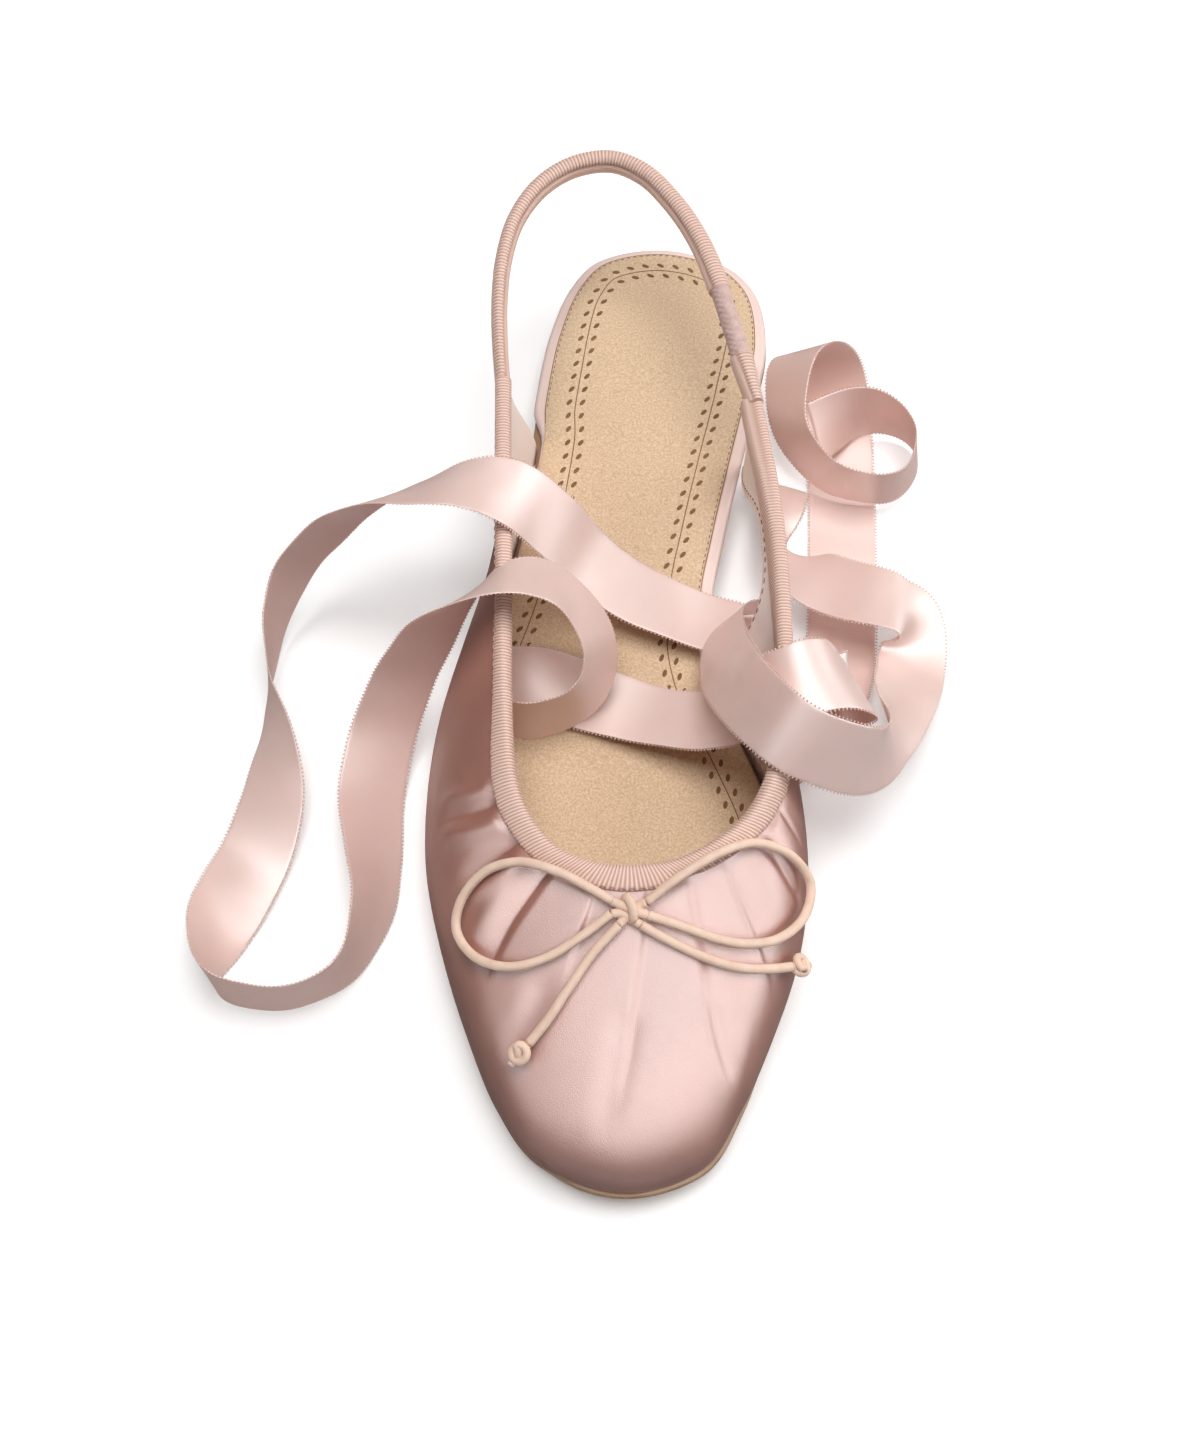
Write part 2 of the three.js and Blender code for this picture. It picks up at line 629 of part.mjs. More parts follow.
// Ribbon ties: each row is a place on the middle line and the direction towards one edge
const RIBBONS = {
  ribbon_long: [
    { x: 28, y: 6.5, z: 10.4, wx: 0.1, wy: -0.97, wz: 0.1 },
    { x: 24, y: 9.6, z: 11.1, wx: 0.15, wy: -0.97, wz: 0.1 },
    { x: 19, y: 10.5, z: 12.2, wx: -0.12, wy: -0.97, wz: 0.15 },
    { x: 11.7, y: 11.4, z: 13.6, wx: -0.2, wy: -0.96, wz: 0.19 },
    { x: 0, y: 14.8, z: 15.6, wx: -0.26, wy: -0.96, wz: 0.09 },
    { x: -9.4, y: 18.4, z: 18.8, wx: -0.25, wy: -0.97, wz: 0 },
    { x: -18, y: 21.6, z: 27.4, wx: -0.45, wy: -0.88, wz: 0 },
    { x: -24.8, y: 23.4, z: 40.4, wx: -0.45, wy: -0.89, wz: 0.06 },
    { x: -33.6, y: 24, z: 51, wx: -0.38, wy: -0.91, wz: 0.08 },
    { x: -44, y: 23.4, z: 51.5, wx: -0.22, wy: -0.93, wz: 0.25 },
    { x: -55, y: 24, z: 47.5, wx: -0.05, wy: -0.75, wz: 0.66 },
    { x: -66, y: 25, z: 40.5, wx: -0.05, wy: -0.48, wz: 0.87 },
    { x: -76, y: 23.6, z: 31.5, wx: -0.18, wy: -0.24, wz: 0.95 },
    { x: -83.6, y: 19.8, z: 22.5, wx: -0.34, wy: -0.3, wz: 0.89 },
    { x: -88.4, y: 14, z: 15.5, wx: -0.3, wy: -0.38, wz: 0.87 },
    { x: -90.5, y: 7, z: 11.5, wx: -0.15, wy: -0.43, wz: 0.88 },
    { x: -90.8, y: -1, z: 9.8, wx: 0.05, wy: -0.43, wz: 0.9 },
    { x: -89.8, y: -9, z: 9, wx: 0.25, wy: -0.4, wz: 0.88 },
    { x: -87.8, y: -18, z: 8.2, wx: 0.55, wy: -0.3, wz: 0.78 },
    { x: -86.4, y: -29, z: 5.8, wx: 0.87, wy: -0.12, wz: 0.48 },
    { x: -87, y: -37, z: 3.6, wx: 0.96, wy: -0.12, wz: 0.22 },
    { x: -88.7, y: -46, z: 2.6, wx: 0.96, wy: -0.25, wz: 0.05 },
    { x: -91.6, y: -54.5, z: 3, wx: 0.93, wy: -0.2, wz: -0.2 },
    { x: -95, y: -64.5, z: 5.4, wx: 0.8, wy: 0.15, wz: -0.55 },
    { x: -96.7, y: -72.6, z: 8, wx: 0.45, wy: 0.17, wz: -0.87 },
    { x: -96.6, y: -78.6, z: 9, wx: -0.02, wy: 0.03, wz: -1 },
    { x: -92.6, y: -82.4, z: 9, wx: -0.1, wy: -0.02, wz: -0.99 },
    { x: -86.5, y: -84.3, z: 9, wx: -0.03, wy: -0.06, wz: -1 },
    { x: -79.2, y: -84.3, z: 9, wx: 0.03, wy: -0.01, wz: -1 },
    { x: -72.2, y: -82.5, z: 9, wx: 0.1, wy: 0.07, wz: -0.99 },
    { x: -66.1, y: -78.6, z: 9, wx: 0.2, wy: 0.13, wz: -0.97 },
    { x: -61.9, y: -71.6, z: 8.8, wx: 0.27, wy: 0.24, wz: -0.93 },
    { x: -60.3, y: -61.6, z: 8.2, wx: 0.43, wy: 0.31, wz: -0.85 },
    { x: -61.2, y: -50.6, z: 7.4, wx: 0.57, wy: 0.31, wz: -0.76 },
    { x: -63.3, y: -39.4, z: 6, wx: 0.78, wy: 0.23, wz: -0.59 },
    { x: -64.1, y: -30, z: 5.6, wx: 0.84, wy: 0.23, wz: -0.49 },
    { x: -62.7, y: -23.1, z: 8.5, wx: 0.86, wy: 0.11, wz: -0.49 },
    { x: -59.5, y: -14.2, z: 15, wx: 0.82, wy: 0.14, wz: -0.55 },
    { x: -54.6, y: -7.1, z: 25, wx: 0.65, wy: 0.13, wz: -0.75 },
    { x: -48.8, y: -4.1, z: 35, wx: 0.41, wy: 0.22, wz: -0.89 },
    { x: -44.7, y: -2.2, z: 41.5, wx: 0.29, wy: 0.45, wz: -0.84 },
    { x: -39.4, y: -0.6, z: 46.2, wx: 0, wy: 0.64, wz: -0.76 },
    { x: -32.6, y: 1, z: 50, wx: -0.08, wy: 0.83, wz: -0.52 },
    { x: -25, y: 2.8, z: 47, wx: 0.05, wy: 0.86, wz: -0.5 },
    { x: -18.2, y: 2, z: 41, wx: 0.25, wy: 0.75, wz: -0.6 },
    { x: -13, y: -1.5, z: 34.6, wx: 0.42, wy: 0.5, wz: -0.75 },
    { x: -10.8, y: -6.5, z: 28.4, wx: 0.45, wy: 0.3, wz: -0.84 },
    { x: -11.6, y: -11.4, z: 24, wx: 0.3, wy: 0.08, wz: -0.95 },
    { x: -15.5, y: -15.8, z: 21, wx: 0.15, wy: 0, wz: -0.99 },
    { x: -21, y: -18.4, z: 18.8, wx: 0.05, wy: -0.02, wz: -1 },
    { x: -27, y: -19.4, z: 18, wx: 0, wy: -0.05, wz: -1 },
    { x: -33, y: -18.4, z: 17.8, wx: 0.05, wy: -0.08, wz: -0.99 },
    { x: -37, y: -14, z: 17.6, wx: 0.2, wy: -0.15, wz: -0.96 },
    { x: -36, y: -8.5, z: 16.8, wx: 0.2, wy: -0.4, wz: -0.9 },
    { x: -30, y: -6, z: 14.4, wx: 0.1, wy: -0.75, wz: -0.65 },
    { x: -22, y: -6.5, z: 12.2, wx: -0.05, wy: -0.95, wz: -0.28 },
    { x: -13, y: -9, z: 10.9, wx: -0.15, wy: -0.97, wz: -0.12 },
    { x: -4, y: -12, z: 11, wx: -0.15, wy: -0.97, wz: 0.1 },
    { x: 4, y: -14.5, z: 12.4, wx: -0.15, wy: -0.95, wz: 0.25 },
    { x: 11.5, y: -17, z: 17, wx: -0.1, wy: -0.95, wz: 0.3 },
    { x: 20.3, y: -20, z: 27, wx: 0.05, wy: -0.95, wz: 0.2 },
    { x: 23.8, y: -22, z: 41, wx: 0.15, wy: -0.95, wz: 0 },
    { x: 27.4, y: -23, z: 46.2, wx: 0.38, wy: -0.9, wz: 0.05 },
    { x: 32, y: -21.6, z: 48, wx: 0.5, wy: -0.84, wz: -0.15 },
    { x: 37, y: -19.6, z: 47.8, wx: 0.52, wy: -0.8, wz: -0.25 },
    { x: 42, y: -18.6, z: 44.6, wx: 0.55, wy: -0.8, wz: -0.2 },
    { x: 45.6, y: -18, z: 40, wx: 0.5, wy: -0.86, wz: -0.1 },
    { x: 46.4, y: -17, z: 35.6, wx: 0.47, wy: -0.88, wz: -0.06 },
    { x: 43.6, y: -16.2, z: 32.8, wx: 0.46, wy: -0.885, wz: -0.03 },
    { x: 39.4, y: -15.6, z: 32.4, wx: 0.45, wy: -0.89, wz: 0 },
  ],
  ribbon_curl: [
    { x: 38.2, y: -27, z: 12.4, wx: 0.42, wy: 0, wz: 0.9 },
    { x: 39.6, y: -20.5, z: 10.5, wx: 0.6, wy: 0, wz: 0.8 },
    { x: 41.8, y: -13, z: 8, wx: 0.8, wy: 0.1, wz: 0.6 },
    { x: 45, y: -3, z: 4, wx: 0.96, wy: 0.1, wz: 0.25 },
    { x: 47, y: 8, z: 1.6, wx: 1, wy: 0, wz: 0.05 },
    { x: 47.6, y: 22, z: 1, wx: 1, wy: 0, wz: 0 },
    { x: 48, y: 38, z: 1, wx: 1, wy: 0, wz: 0 },
    { x: 48.3, y: 54, z: 1, wx: 1, wy: 0, wz: 0 },
    { x: 48.2, y: 66, z: 1, wx: 1, wy: 0, wz: 0 },
    { x: 48, y: 75.8, z: 1.3, wx: 1, wy: 0.03, wz: 0 },
    { x: 47.4, y: 81.9, z: 4.6, wx: 0.98, wy: 0.09, wz: 0.14 },
    { x: 46.1, y: 85.7, z: 9.8, wx: 0.94, wy: 0.1, wz: 0.32 },
    { x: 43.2, y: 88.3, z: 16.5, wx: 0.89, wy: -0.02, wz: 0.46 },
    { x: 37.8, y: 87.6, z: 23, wx: 0.78, wy: -0.16, wz: 0.59 },
    { x: 33.9, y: 82.5, z: 24.5, wx: 0.69, wy: -0.2, wz: 0.69 },
    { x: 32.2, y: 75.4, z: 22.5, wx: 0.59, wy: -0.3, wz: 0.75 },
    { x: 32.2, y: 69.5, z: 19.4, wx: 0.47, wy: -0.29, wz: 0.84 },
    { x: 33.6, y: 64.4, z: 16.6, wx: 0.37, wy: -0.28, wz: 0.88 },
    { x: 36.9, y: 59.9, z: 14, wx: 0.26, wy: -0.22, wz: 0.94 },
    { x: 42, y: 56, z: 12, wx: 0.18, wy: -0.18, wz: 0.97 },
    { x: 48.2, y: 52.6, z: 11.4, wx: 0.1, wy: -0.17, wz: 0.98 },
    { x: 54.3, y: 51.4, z: 11, wx: 0.03, wy: -0.16, wz: 0.99 },
    { x: 59.9, y: 53, z: 10.3, wx: -0.05, wy: -0.14, wz: 0.99 },
    { x: 63.6, y: 56.4, z: 9.5, wx: -0.13, wy: -0.16, wz: 0.98 },
    { x: 66, y: 61.3, z: 9.4, wx: -0.18, wy: -0.17, wz: 0.97 },
    { x: 66.8, y: 67, z: 9.5, wx: -0.18, wy: -0.17, wz: 0.97 },
    { x: 65.3, y: 71.4, z: 9.8, wx: -0.13, wy: -0.17, wz: 0.97 },
    { x: 61.6, y: 74.4, z: 10.4, wx: -0.03, wy: -0.1, wz: 0.99 },
    { x: 56.9, y: 75.6, z: 11, wx: -0.06, wy: 0.05, wz: 0.99 },
    { x: 51.7, y: 75, z: 11.6, wx: -0.14, wy: 0.2, wz: 0.97 },
    { x: 46.8, y: 72.5, z: 12.2, wx: -0.22, wy: 0.35, wz: 0.91 },
    { x: 40.5, y: 67.4, z: 12.4, wx: -0.34, wy: 0.48, wz: 0.81 },
  ],
  ribbon_medial: [
    { x: 28, y: 12, z: 19.8, wx: -0.05, wy: 0.3, wz: -0.95 },
    { x: 22.4, y: 12.4, z: 20.4, wx: -0.15, wy: 0.3, wz: -0.94 },
    { x: 17, y: 7.6, z: 22, wx: -0.3, wy: 0.25, wz: -0.9 },
    { x: 15.2, y: -4, z: 26.4, wx: -0.45, wy: 0.05, wz: -0.87 },
    { x: 17.3, y: -14, z: 36.4, wx: -0.6, wy: -0.6, wz: -0.55 },
    { x: 21.5, y: -27, z: 47, wx: -0.34, wy: -0.74, wz: -0.58 },
    { x: 27.5, y: -34.8, z: 49, wx: -0.27, wy: -0.62, wz: -0.74 },
    { x: 35.4, y: -37.8, z: 47, wx: -0.2, wy: -0.56, wz: -0.8 },
    { x: 43.5, y: -38, z: 42.6, wx: -0.1, wy: -0.54, wz: -0.83 },
    { x: 49.2, y: -36, z: 37.4, wx: -0.04, wy: -0.48, wz: -0.87 },
    { x: 51.9, y: -32.1, z: 33.4, wx: 0.07, wy: -0.29, wz: -0.95 },
    { x: 53.8, y: -26.4, z: 28.8, wx: 0.3, wy: -0.3, wz: -0.88 },
    { x: 56.2, y: -18.3, z: 22.8, wx: 0.58, wy: -0.34, wz: -0.68 },
    { x: 58.9, y: -9.3, z: 16, wx: 0.8, wy: -0.36, wz: -0.42 },
    { x: 61.6, y: -1.2, z: 9.8, wx: 0.92, wy: -0.28, wz: -0.24 },
    { x: 63.2, y: 5, z: 6.8, wx: 0.96, wy: -0.12, wz: -0.2 },
    { x: 64, y: 9.6, z: 8.2, wx: 0.95, wy: 0.1, wz: -0.25 },
    { x: 63.8, y: 12.6, z: 11.6, wx: 0.8, wy: 0.38, wz: -0.42 },
    { x: 62.4, y: 14.4, z: 15.6, wx: 0.5, wy: 0.72, wz: -0.4 },
    { x: 59.2, y: 15.4, z: 18, wx: 0.22, wy: 0.95, wz: -0.16 },
    { x: 54.6, y: 16.8, z: 17.6, wx: 0.19, wy: 0.98, wz: -0.06 },
    { x: 47.6, y: 20, z: 15.4, wx: 0.16, wy: 0.98, wz: -0.05 },
    { x: 41.1, y: 24, z: 12.4, wx: 0.12, wy: 0.97, wz: -0.16 },
    { x: 35.8, y: 28.6, z: 10, wx: 0.14, wy: 0.95, wz: -0.26 },
    { x: 31.8, y: 34.4, z: 8.6, wx: 0.4, wy: 0.65, wz: -0.6 },
    { x: 29.6, y: 40, z: 8.8, wx: 0.3, wy: 0.1, wz: -0.95 },
    { x: 29.8, y: 46, z: 7, wx: 0.5, wy: -0.05, wz: -0.85 },
    { x: 30.8, y: 53, z: 4.2, wx: 0.85, wy: -0.3, wz: -0.35 },
    { x: 31.6, y: 58.6, z: 1.8, wx: 0.92, wy: -0.38, wz: -0.06 },
  ],
};
const RIBBON_STEPS_PER_ROW = 2;
const FRONT_SIDE = 2;
const NEARBY = 0.05;
function ribbonSolid(rows) {
  const shell = new Shell();
  const rings = [];
  const blend = (key, at) => spline(rows.map((r) => r[key]), at);
  const place = (at) => new THREE.Vector3(blend('x', at), blend('y', at), blend('z', at));
  const last = rows.length - 1;
  for (let i = 0; i <= last * RIBBON_STEPS_PER_ROW; i += 1) {
    const at = i / RIBBON_STEPS_PER_ROW;
    const c = place(at);
    const along = place(Math.min(at + NEARBY, last)).sub(place(Math.max(at - NEARBY, 0))).normalize();
    const wide = new THREE.Vector3(blend('wx', at), blend('wy', at), blend('wz', at));
    wide.addScaledVector(along, -wide.dot(along)).normalize();
    const face = along.clone().cross(wide).normalize();
    const corner = (a, b) =>
      shell.add(
        c.clone()
          .addScaledVector(wide, (a * RIBBON_WIDE) / 2)
          .addScaledVector(face, (b * RIBBON_THICK) / 2),
      );
    rings.push([corner(-1, -1), corner(1, -1), corner(1, 1), corner(-1, 1)]);
  }
  closeSweep(shell, rings, [[0, 1, 2, 3]], [FRONT_SIDE]);
  return shell.geometry();
}
Object.entries(RIBBONS).forEach(([name, rows]) => piece(name, ribbonSolid(rows), satin));

export default shoe;
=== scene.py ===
# %% [markdown]
# A slingback ballet flat, made round its imported solids. The solids fix where everything is, in
# metres, and this lesson dresses them: satin, ribbed tape, cord, ribbon, suede and leather.

# %% Load the frame
import math
import bmesh
import bpy
import numpy as np
from mathutils import Matrix, Vector


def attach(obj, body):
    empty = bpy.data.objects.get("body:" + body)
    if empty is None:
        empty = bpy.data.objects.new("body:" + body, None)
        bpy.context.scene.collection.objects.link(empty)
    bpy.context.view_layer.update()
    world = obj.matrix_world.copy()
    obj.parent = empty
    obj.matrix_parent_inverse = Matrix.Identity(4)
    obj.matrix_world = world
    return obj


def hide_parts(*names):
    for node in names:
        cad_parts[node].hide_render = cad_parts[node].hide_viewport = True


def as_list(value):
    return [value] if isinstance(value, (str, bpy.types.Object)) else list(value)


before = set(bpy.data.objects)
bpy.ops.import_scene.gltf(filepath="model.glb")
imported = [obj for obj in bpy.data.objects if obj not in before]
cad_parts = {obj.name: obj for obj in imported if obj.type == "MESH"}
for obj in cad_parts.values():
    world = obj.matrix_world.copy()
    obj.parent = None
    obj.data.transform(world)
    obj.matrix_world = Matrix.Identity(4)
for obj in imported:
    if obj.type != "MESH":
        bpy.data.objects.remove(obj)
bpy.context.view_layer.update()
MM = 0.001
MIDDLE_X = 6.95

# %% [markdown]
# The photograph looks down on the shoe from in front of the toe, about 64 degrees above the floor.
# A camera could be aimed at a target, but here its three axes are known, so they are set directly.
# The lens is given against the sensor's height because the picture is taller than it is wide.

# %% Camera
CAMERA_PLACE = (0.0022, -0.1995, 0.3865)
CAMERA_RIGHT = (0.9994, 0.0347, 0.0)
CAMERA_UP = (-0.0312, 0.8983, 0.4384)
CAMERA_BACK = (0.0152, -0.4381, 0.8988)
camera = bpy.data.objects.new("camera", bpy.data.cameras.new("camera"))
bpy.context.scene.collection.objects.link(camera)
axes = Matrix((CAMERA_RIGHT, CAMERA_UP, CAMERA_BACK)).transposed()
camera.matrix_world = Matrix.Translation(CAMERA_PLACE) @ axes.to_quaternion().to_matrix().to_4x4()
camera.data.sensor_fit = "VERTICAL"
camera.data.sensor_height = 36
camera.data.lens = 44.27
camera.data.clip_start = 0.01
bpy.context.scene.camera = camera
print("camera at", CAMERA_PLACE, "lens", camera.data.lens)

# %% [markdown]
# Shoes for a catalogue stand on a white sweep under one large overhead softbox, here with a weak
# one at the side. The top of the satin then shines and the upright sides go a deep rose. A white
# floor that also glows a little stays white, as paper does in a bright studio, and still shows a
# soft shadow under the sole. Photographers hold cards beside shiny cloth to shape what it mirrors.
# Four lamps stand in for white cards: they show only in the shine and light nothing else. The floor
# is left out of what glossy surfaces reflect, so that the white sweep isn't mirrored in the satin.

# %% Floor and light
def feed(tree, node, inputs):
    for socket, value in inputs.items():
        if isinstance(value, bpy.types.NodeSocket):
            tree.links.new(value, node.inputs[socket])
        else:
            node.inputs[socket].default_value = value
    return node.outputs


def new_finish(name):
    finish = bpy.data.materials.new(name)
    finish.use_nodes = True
    return finish


def shade(finish, inputs):
    feed(finish.node_tree, finish.node_tree.nodes["Principled BSDF"], inputs)


paper = new_finish("white_paper")
shade(paper, {"Base Color": (0.9, 0.9, 0.9, 1), "Roughness": 0.95, "Specular IOR Level": 0.0})
shade(paper, {"Emission Color": (1, 1, 1, 1), "Emission Strength": 0.2})
FLOOR_HALF = 4.0
FLOOR_DROP = -0.0004
corners = [(-1, -1), (1, -1), (1, 1), (-1, 1)]
floor_mesh = bpy.data.meshes.new("floor")
floor_spots = [(a * FLOOR_HALF, b * FLOOR_HALF, FLOOR_DROP) for a, b in corners]
floor_mesh.from_pydata(floor_spots, [], [(0, 1, 2, 3)])
floor = bpy.data.objects.new("floor", floor_mesh)
floor_mesh.materials.append(paper)
bpy.context.scene.collection.objects.link(floor)
floor.visible_glossy = False


def softbox(name, place, target, wide, deep, watts):
    lamp = bpy.data.lights.new(name, "AREA")
    lamp.shape = "RECTANGLE"
    lamp.size = wide
    lamp.size_y = deep
    lamp.energy = watts
    holder = bpy.data.objects.new(name, lamp)
    holder.location = place
    holder.rotation_euler = (Vector(target) - Vector(place)).to_track_quat("-Z", "Y").to_euler()
    bpy.context.scene.collection.objects.link(holder)
    return holder


SHOE_MIDDLE = (0.0, -0.02, 0.03)
softbox("overhead_softbox", (0.03, 0.08, 1.6), SHOE_MIDDLE, 1.0, 1.0, 24)
softbox("side_softbox", (0.85, 0.3, 0.55), SHOE_MIDDLE, 0.9, 0.7, 4)
shine_card = softbox("shine_card", (0.3, -0.72, 0.97), SHOE_MIDDLE, 1.7, 0.9, 24)
left_card = softbox("left_card", (-0.7, -0.55, 0.5), SHOE_MIDDLE, 0.6, 0.4, 3)
right_card = softbox("right_card", (0.95, -0.1, 0.4), SHOE_MIDDLE, 1.0, 0.6, 9)
toe_card = softbox("toe_card", (0.0, -0.17, 0.0), (0.0, -0.17, 1.0), 0.16, 0.06, 0.012)
for card in (shine_card, left_card, right_card, toe_card):
    card.visible_diffuse = False
    card.visible_camera = False
world = bpy.data.worlds.new("studio")
bpy.context.scene.world = world
world.use_nodes = True
sky = world.node_tree.nodes["Background"]
feed(world.node_tree, sky, {"Color": (1, 0.99, 0.98, 1), "Strength": 0.06})
bpy.context.scene.view_settings.view_transform = "Standard"
print("floor and lights are set")

# %% [markdown]
# All cloth here has a base colour that drifts a little, a thread pattern far smaller than a
# millimetre and its own gloss. Each node could be added and linked by hand, but that is many lines
# of the same kind, so one helper adds a node and feeds its sockets, and others build on it. A
# pattern that has to follow a tape, a cord or a ribbon reads numbers stored on the piece's own
# points, such as run, the millimetres along it. Numbers that are the same all over are set on the
# shader itself.

# %% A helper for finishes
def wire(tree, kind, inputs, **settings):
    node = tree.nodes.new(kind)
    for name, value in settings.items():
        setattr(node, name, value)
    return feed(tree, node, inputs)


def ramp(tree, source, low_end, high_end):
    node = tree.nodes.new("ShaderNodeValToRGB")
    for end, (position, colour) in zip(node.color_ramp.elements, (low_end, high_end)):
        end.position = position
        end.color = (*colour, 1)
    return feed(tree, node, {"Fac": source})["Color"]


def drifting_colour(finish, low, high, size_mm, detail=2.0):
    tree = finish.node_tree
    place = wire(tree, "ShaderNodeTexCoord", {})["Object"]
    noise = wire(tree, "ShaderNodeTexNoise", {"Vector": place, "Scale": 1000.0 / size_mm, "Detail": detail})
    shade(finish, {"Base Color": ramp(tree, noise["Fac"], (0.3, low), (0.7, high))})
    return place


def fine_relief(finish, source, height_mm, strength):
    inputs = {"Height": source, "Distance": height_mm * MM, "Strength": strength}
    shade(finish, {"Normal": wire(finish.node_tree, "ShaderNodeBump", inputs)["Normal"]})


def gloss(finish, rough, specular, sheen=0.0, sheen_tint=(1, 1, 1), bends=1.5):
    shade(finish, {"Roughness": rough, "IOR": bends, "Specular IOR Level": specular})
    shade(finish, {"Sheen Weight": sheen, "Sheen Roughness": 0.4, "Sheen Tint": (*sheen_tint, 1)})


def stored(finish, name):
    return wire(finish.node_tree, "ShaderNodeAttribute", {}, attribute_name=name)["Fac"]


def cloth(name, low, high, rough, specular, thread_mm, relief_mm, sheen=0.15, drift_mm=14, bends=1.5):
    finish = new_finish(name)
    place = drifting_colour(finish, low, high, drift_mm)
    weave = {"Vector": place, "Scale": 1000.0 / thread_mm, "Detail": 1.0}
    threads = wire(finish.node_tree, "ShaderNodeTexNoise", weave)
    fine_relief(finish, threads["Fac"], relief_mm, 0.35)
    gloss(finish, rough, specular, sheen, high, bends)
    return finish


print("finish helpers are ready")

# %% [markdown]
# Satin is woven with long floating threads, so it has a broad soft shine over a duller rose. The
# upper, the ribbons and the wrapped edge of the insole are cut from near neighbours of one cloth.
# The lining is paler and dull. Thread, cord and tape get their own colours further down.

# %% Satin finishes
satin = cloth(
    "blush_satin", (0.32, 0.122, 0.085), (0.37, 0.148, 0.106),
    rough=0.44, specular=0.5, thread_mm=0.24, relief_mm=0.2, sheen=0.0, bends=2.2,
)
rim_satin = cloth(
    "rim_satin", (0.82, 0.62, 0.56), (0.87, 0.68, 0.62),
    rough=0.45, specular=0.5, thread_mm=0.35, relief_mm=0.04, sheen=0.05,
)
lining = cloth(
    "pale_lining", (0.96, 0.83, 0.77), (0.98, 0.87, 0.82),
    rough=0.7, specular=0.3, thread_mm=0.5, relief_mm=0.05,
)
print("satin, rim and lining finishes made")

# %% [markdown]
# A few helpers come before the first piece. One draws a smooth curve through given points, in
# the manner of the solids. Another turns rings of points into a closed skin, as a maker lofts a
# form from sections. All of them work in millimetres from the middle of the last, and the skin is
# moved into the frame and into metres when it is made.

# %% Curves and skins
UPWARDS = [0, 0, 1.0]
MERGE_WITHIN = 1e-7


def smooth_curve(points, count, closed=False):
    spots = np.array(points, float)
    spans = len(spots) if closed else len(spots) - 1
    if closed:
        padded = np.vstack([spots[-1:], spots, spots[:2]])
    else:
        padded = np.vstack([2 * spots[0] - spots[1], spots, 2 * spots[-1] - spots[-2]])
    at = np.linspace(0, spans, count, endpoint=not closed)
    i = np.minimum(at.astype(int), spans - 1)
    t = (at - i)[:, None]
    p0, p1, p2, p3 = (padded[i + k] for k in range(4))
    legs = ((p0, p1), (p1, p2), (p2, p3))
    d0, d1, d2 = (np.sqrt(np.linalg.norm(b - a, axis=1))[:, None] for a, b in legs)
    m1 = d1 * ((p1 - p0) / d0 - (p2 - p0) / (d0 + d1) + (p2 - p1) / d1)
    m2 = d1 * ((p2 - p1) / d1 - (p3 - p1) / (d1 + d2) + (p3 - p2) / d2)
    bend = 3 * (p2 - p1) - 2 * m1 - m2
    return p1 + m1 * t + bend * t**2 + (2 * (p1 - p2) + m1 + m2) * t**3


def run_along(points):
    return np.concatenate([[0], np.cumsum(np.linalg.norm(np.diff(points, axis=0), axis=1))])


def evenly(points, step):
    run = run_along(points)
    at = np.linspace(0, run[-1], max(int(round(run[-1] / step)), 2) + 1)
    return np.stack([np.interp(at, run, points[:, k]) for k in range(points.shape[1])], axis=1)


def unit(vectors):
    return vectors / np.maximum(np.linalg.norm(vectors, axis=-1, keepdims=True), 1e-12)


def full_turn(sides):
    return np.arange(sides) * 2 * np.pi / sides


def metres(points):
    return ((np.asarray(points) + [MIDDLE_X, 0, 0]) * MM).tolist()


def make_piece(name, spots, faces, finishes, finish_of=None, values=None):
    mesh = bpy.data.meshes.new(name)
    mesh.from_pydata(metres(spots), [], faces)
    for finish in finishes:
        mesh.materials.append(finish)
    if finish_of is not None:
        mesh.polygons.foreach_set("material_index", finish_of)
    for key, numbers in (values or {}).items():
        numbers_stored = mesh.attributes.new(key, "FLOAT", "POINT").data
        numbers_stored.foreach_set("value", np.asarray(numbers, float).ravel())
    shell = bmesh.new()
    shell.from_mesh(mesh)
    bmesh.ops.remove_doubles(shell, verts=shell.verts, dist=MERGE_WITHIN)
    bmesh.ops.recalc_face_normals(shell, faces=shell.faces)
    shell.to_mesh(mesh)
    shell.free()
    mesh.polygons.foreach_set("use_smooth", [True] * len(mesh.polygons))
    piece = bpy.data.objects.new(name, mesh)
    bpy.context.scene.collection.objects.link(piece)
    return piece


def ring_faces(count, sides, first=0):
    i, k = np.meshgrid(np.arange(count - 1), np.arange(sides), indexing="ij")
    m = (k + 1) % sides
    quad = (i * sides + k, i * sides + m, (i + 1) * sides + m, (i + 1) * sides + k)
    faces = (np.stack(quad, axis=-1).reshape(-1, 4) + first).tolist()
    faces.append(list(range(first, first + sides)))
    faces.append(list(range(first + (count - 1) * sides, first + count * sides)))
    return faces


def loft(name, rings, finishes, finish_of=None, values=None):
    faces = ring_faces(*rings.shape[:2])
    return make_piece(name, rings.reshape(-1, 3), faces, finishes, finish_of, values)


def dress(piece, slot, *nodes):
    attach(piece, "root")
    if nodes:
        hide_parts(*nodes)
    print(piece.name, len(piece.data.polygons), "faces")


print("helpers for curves and skins are ready")
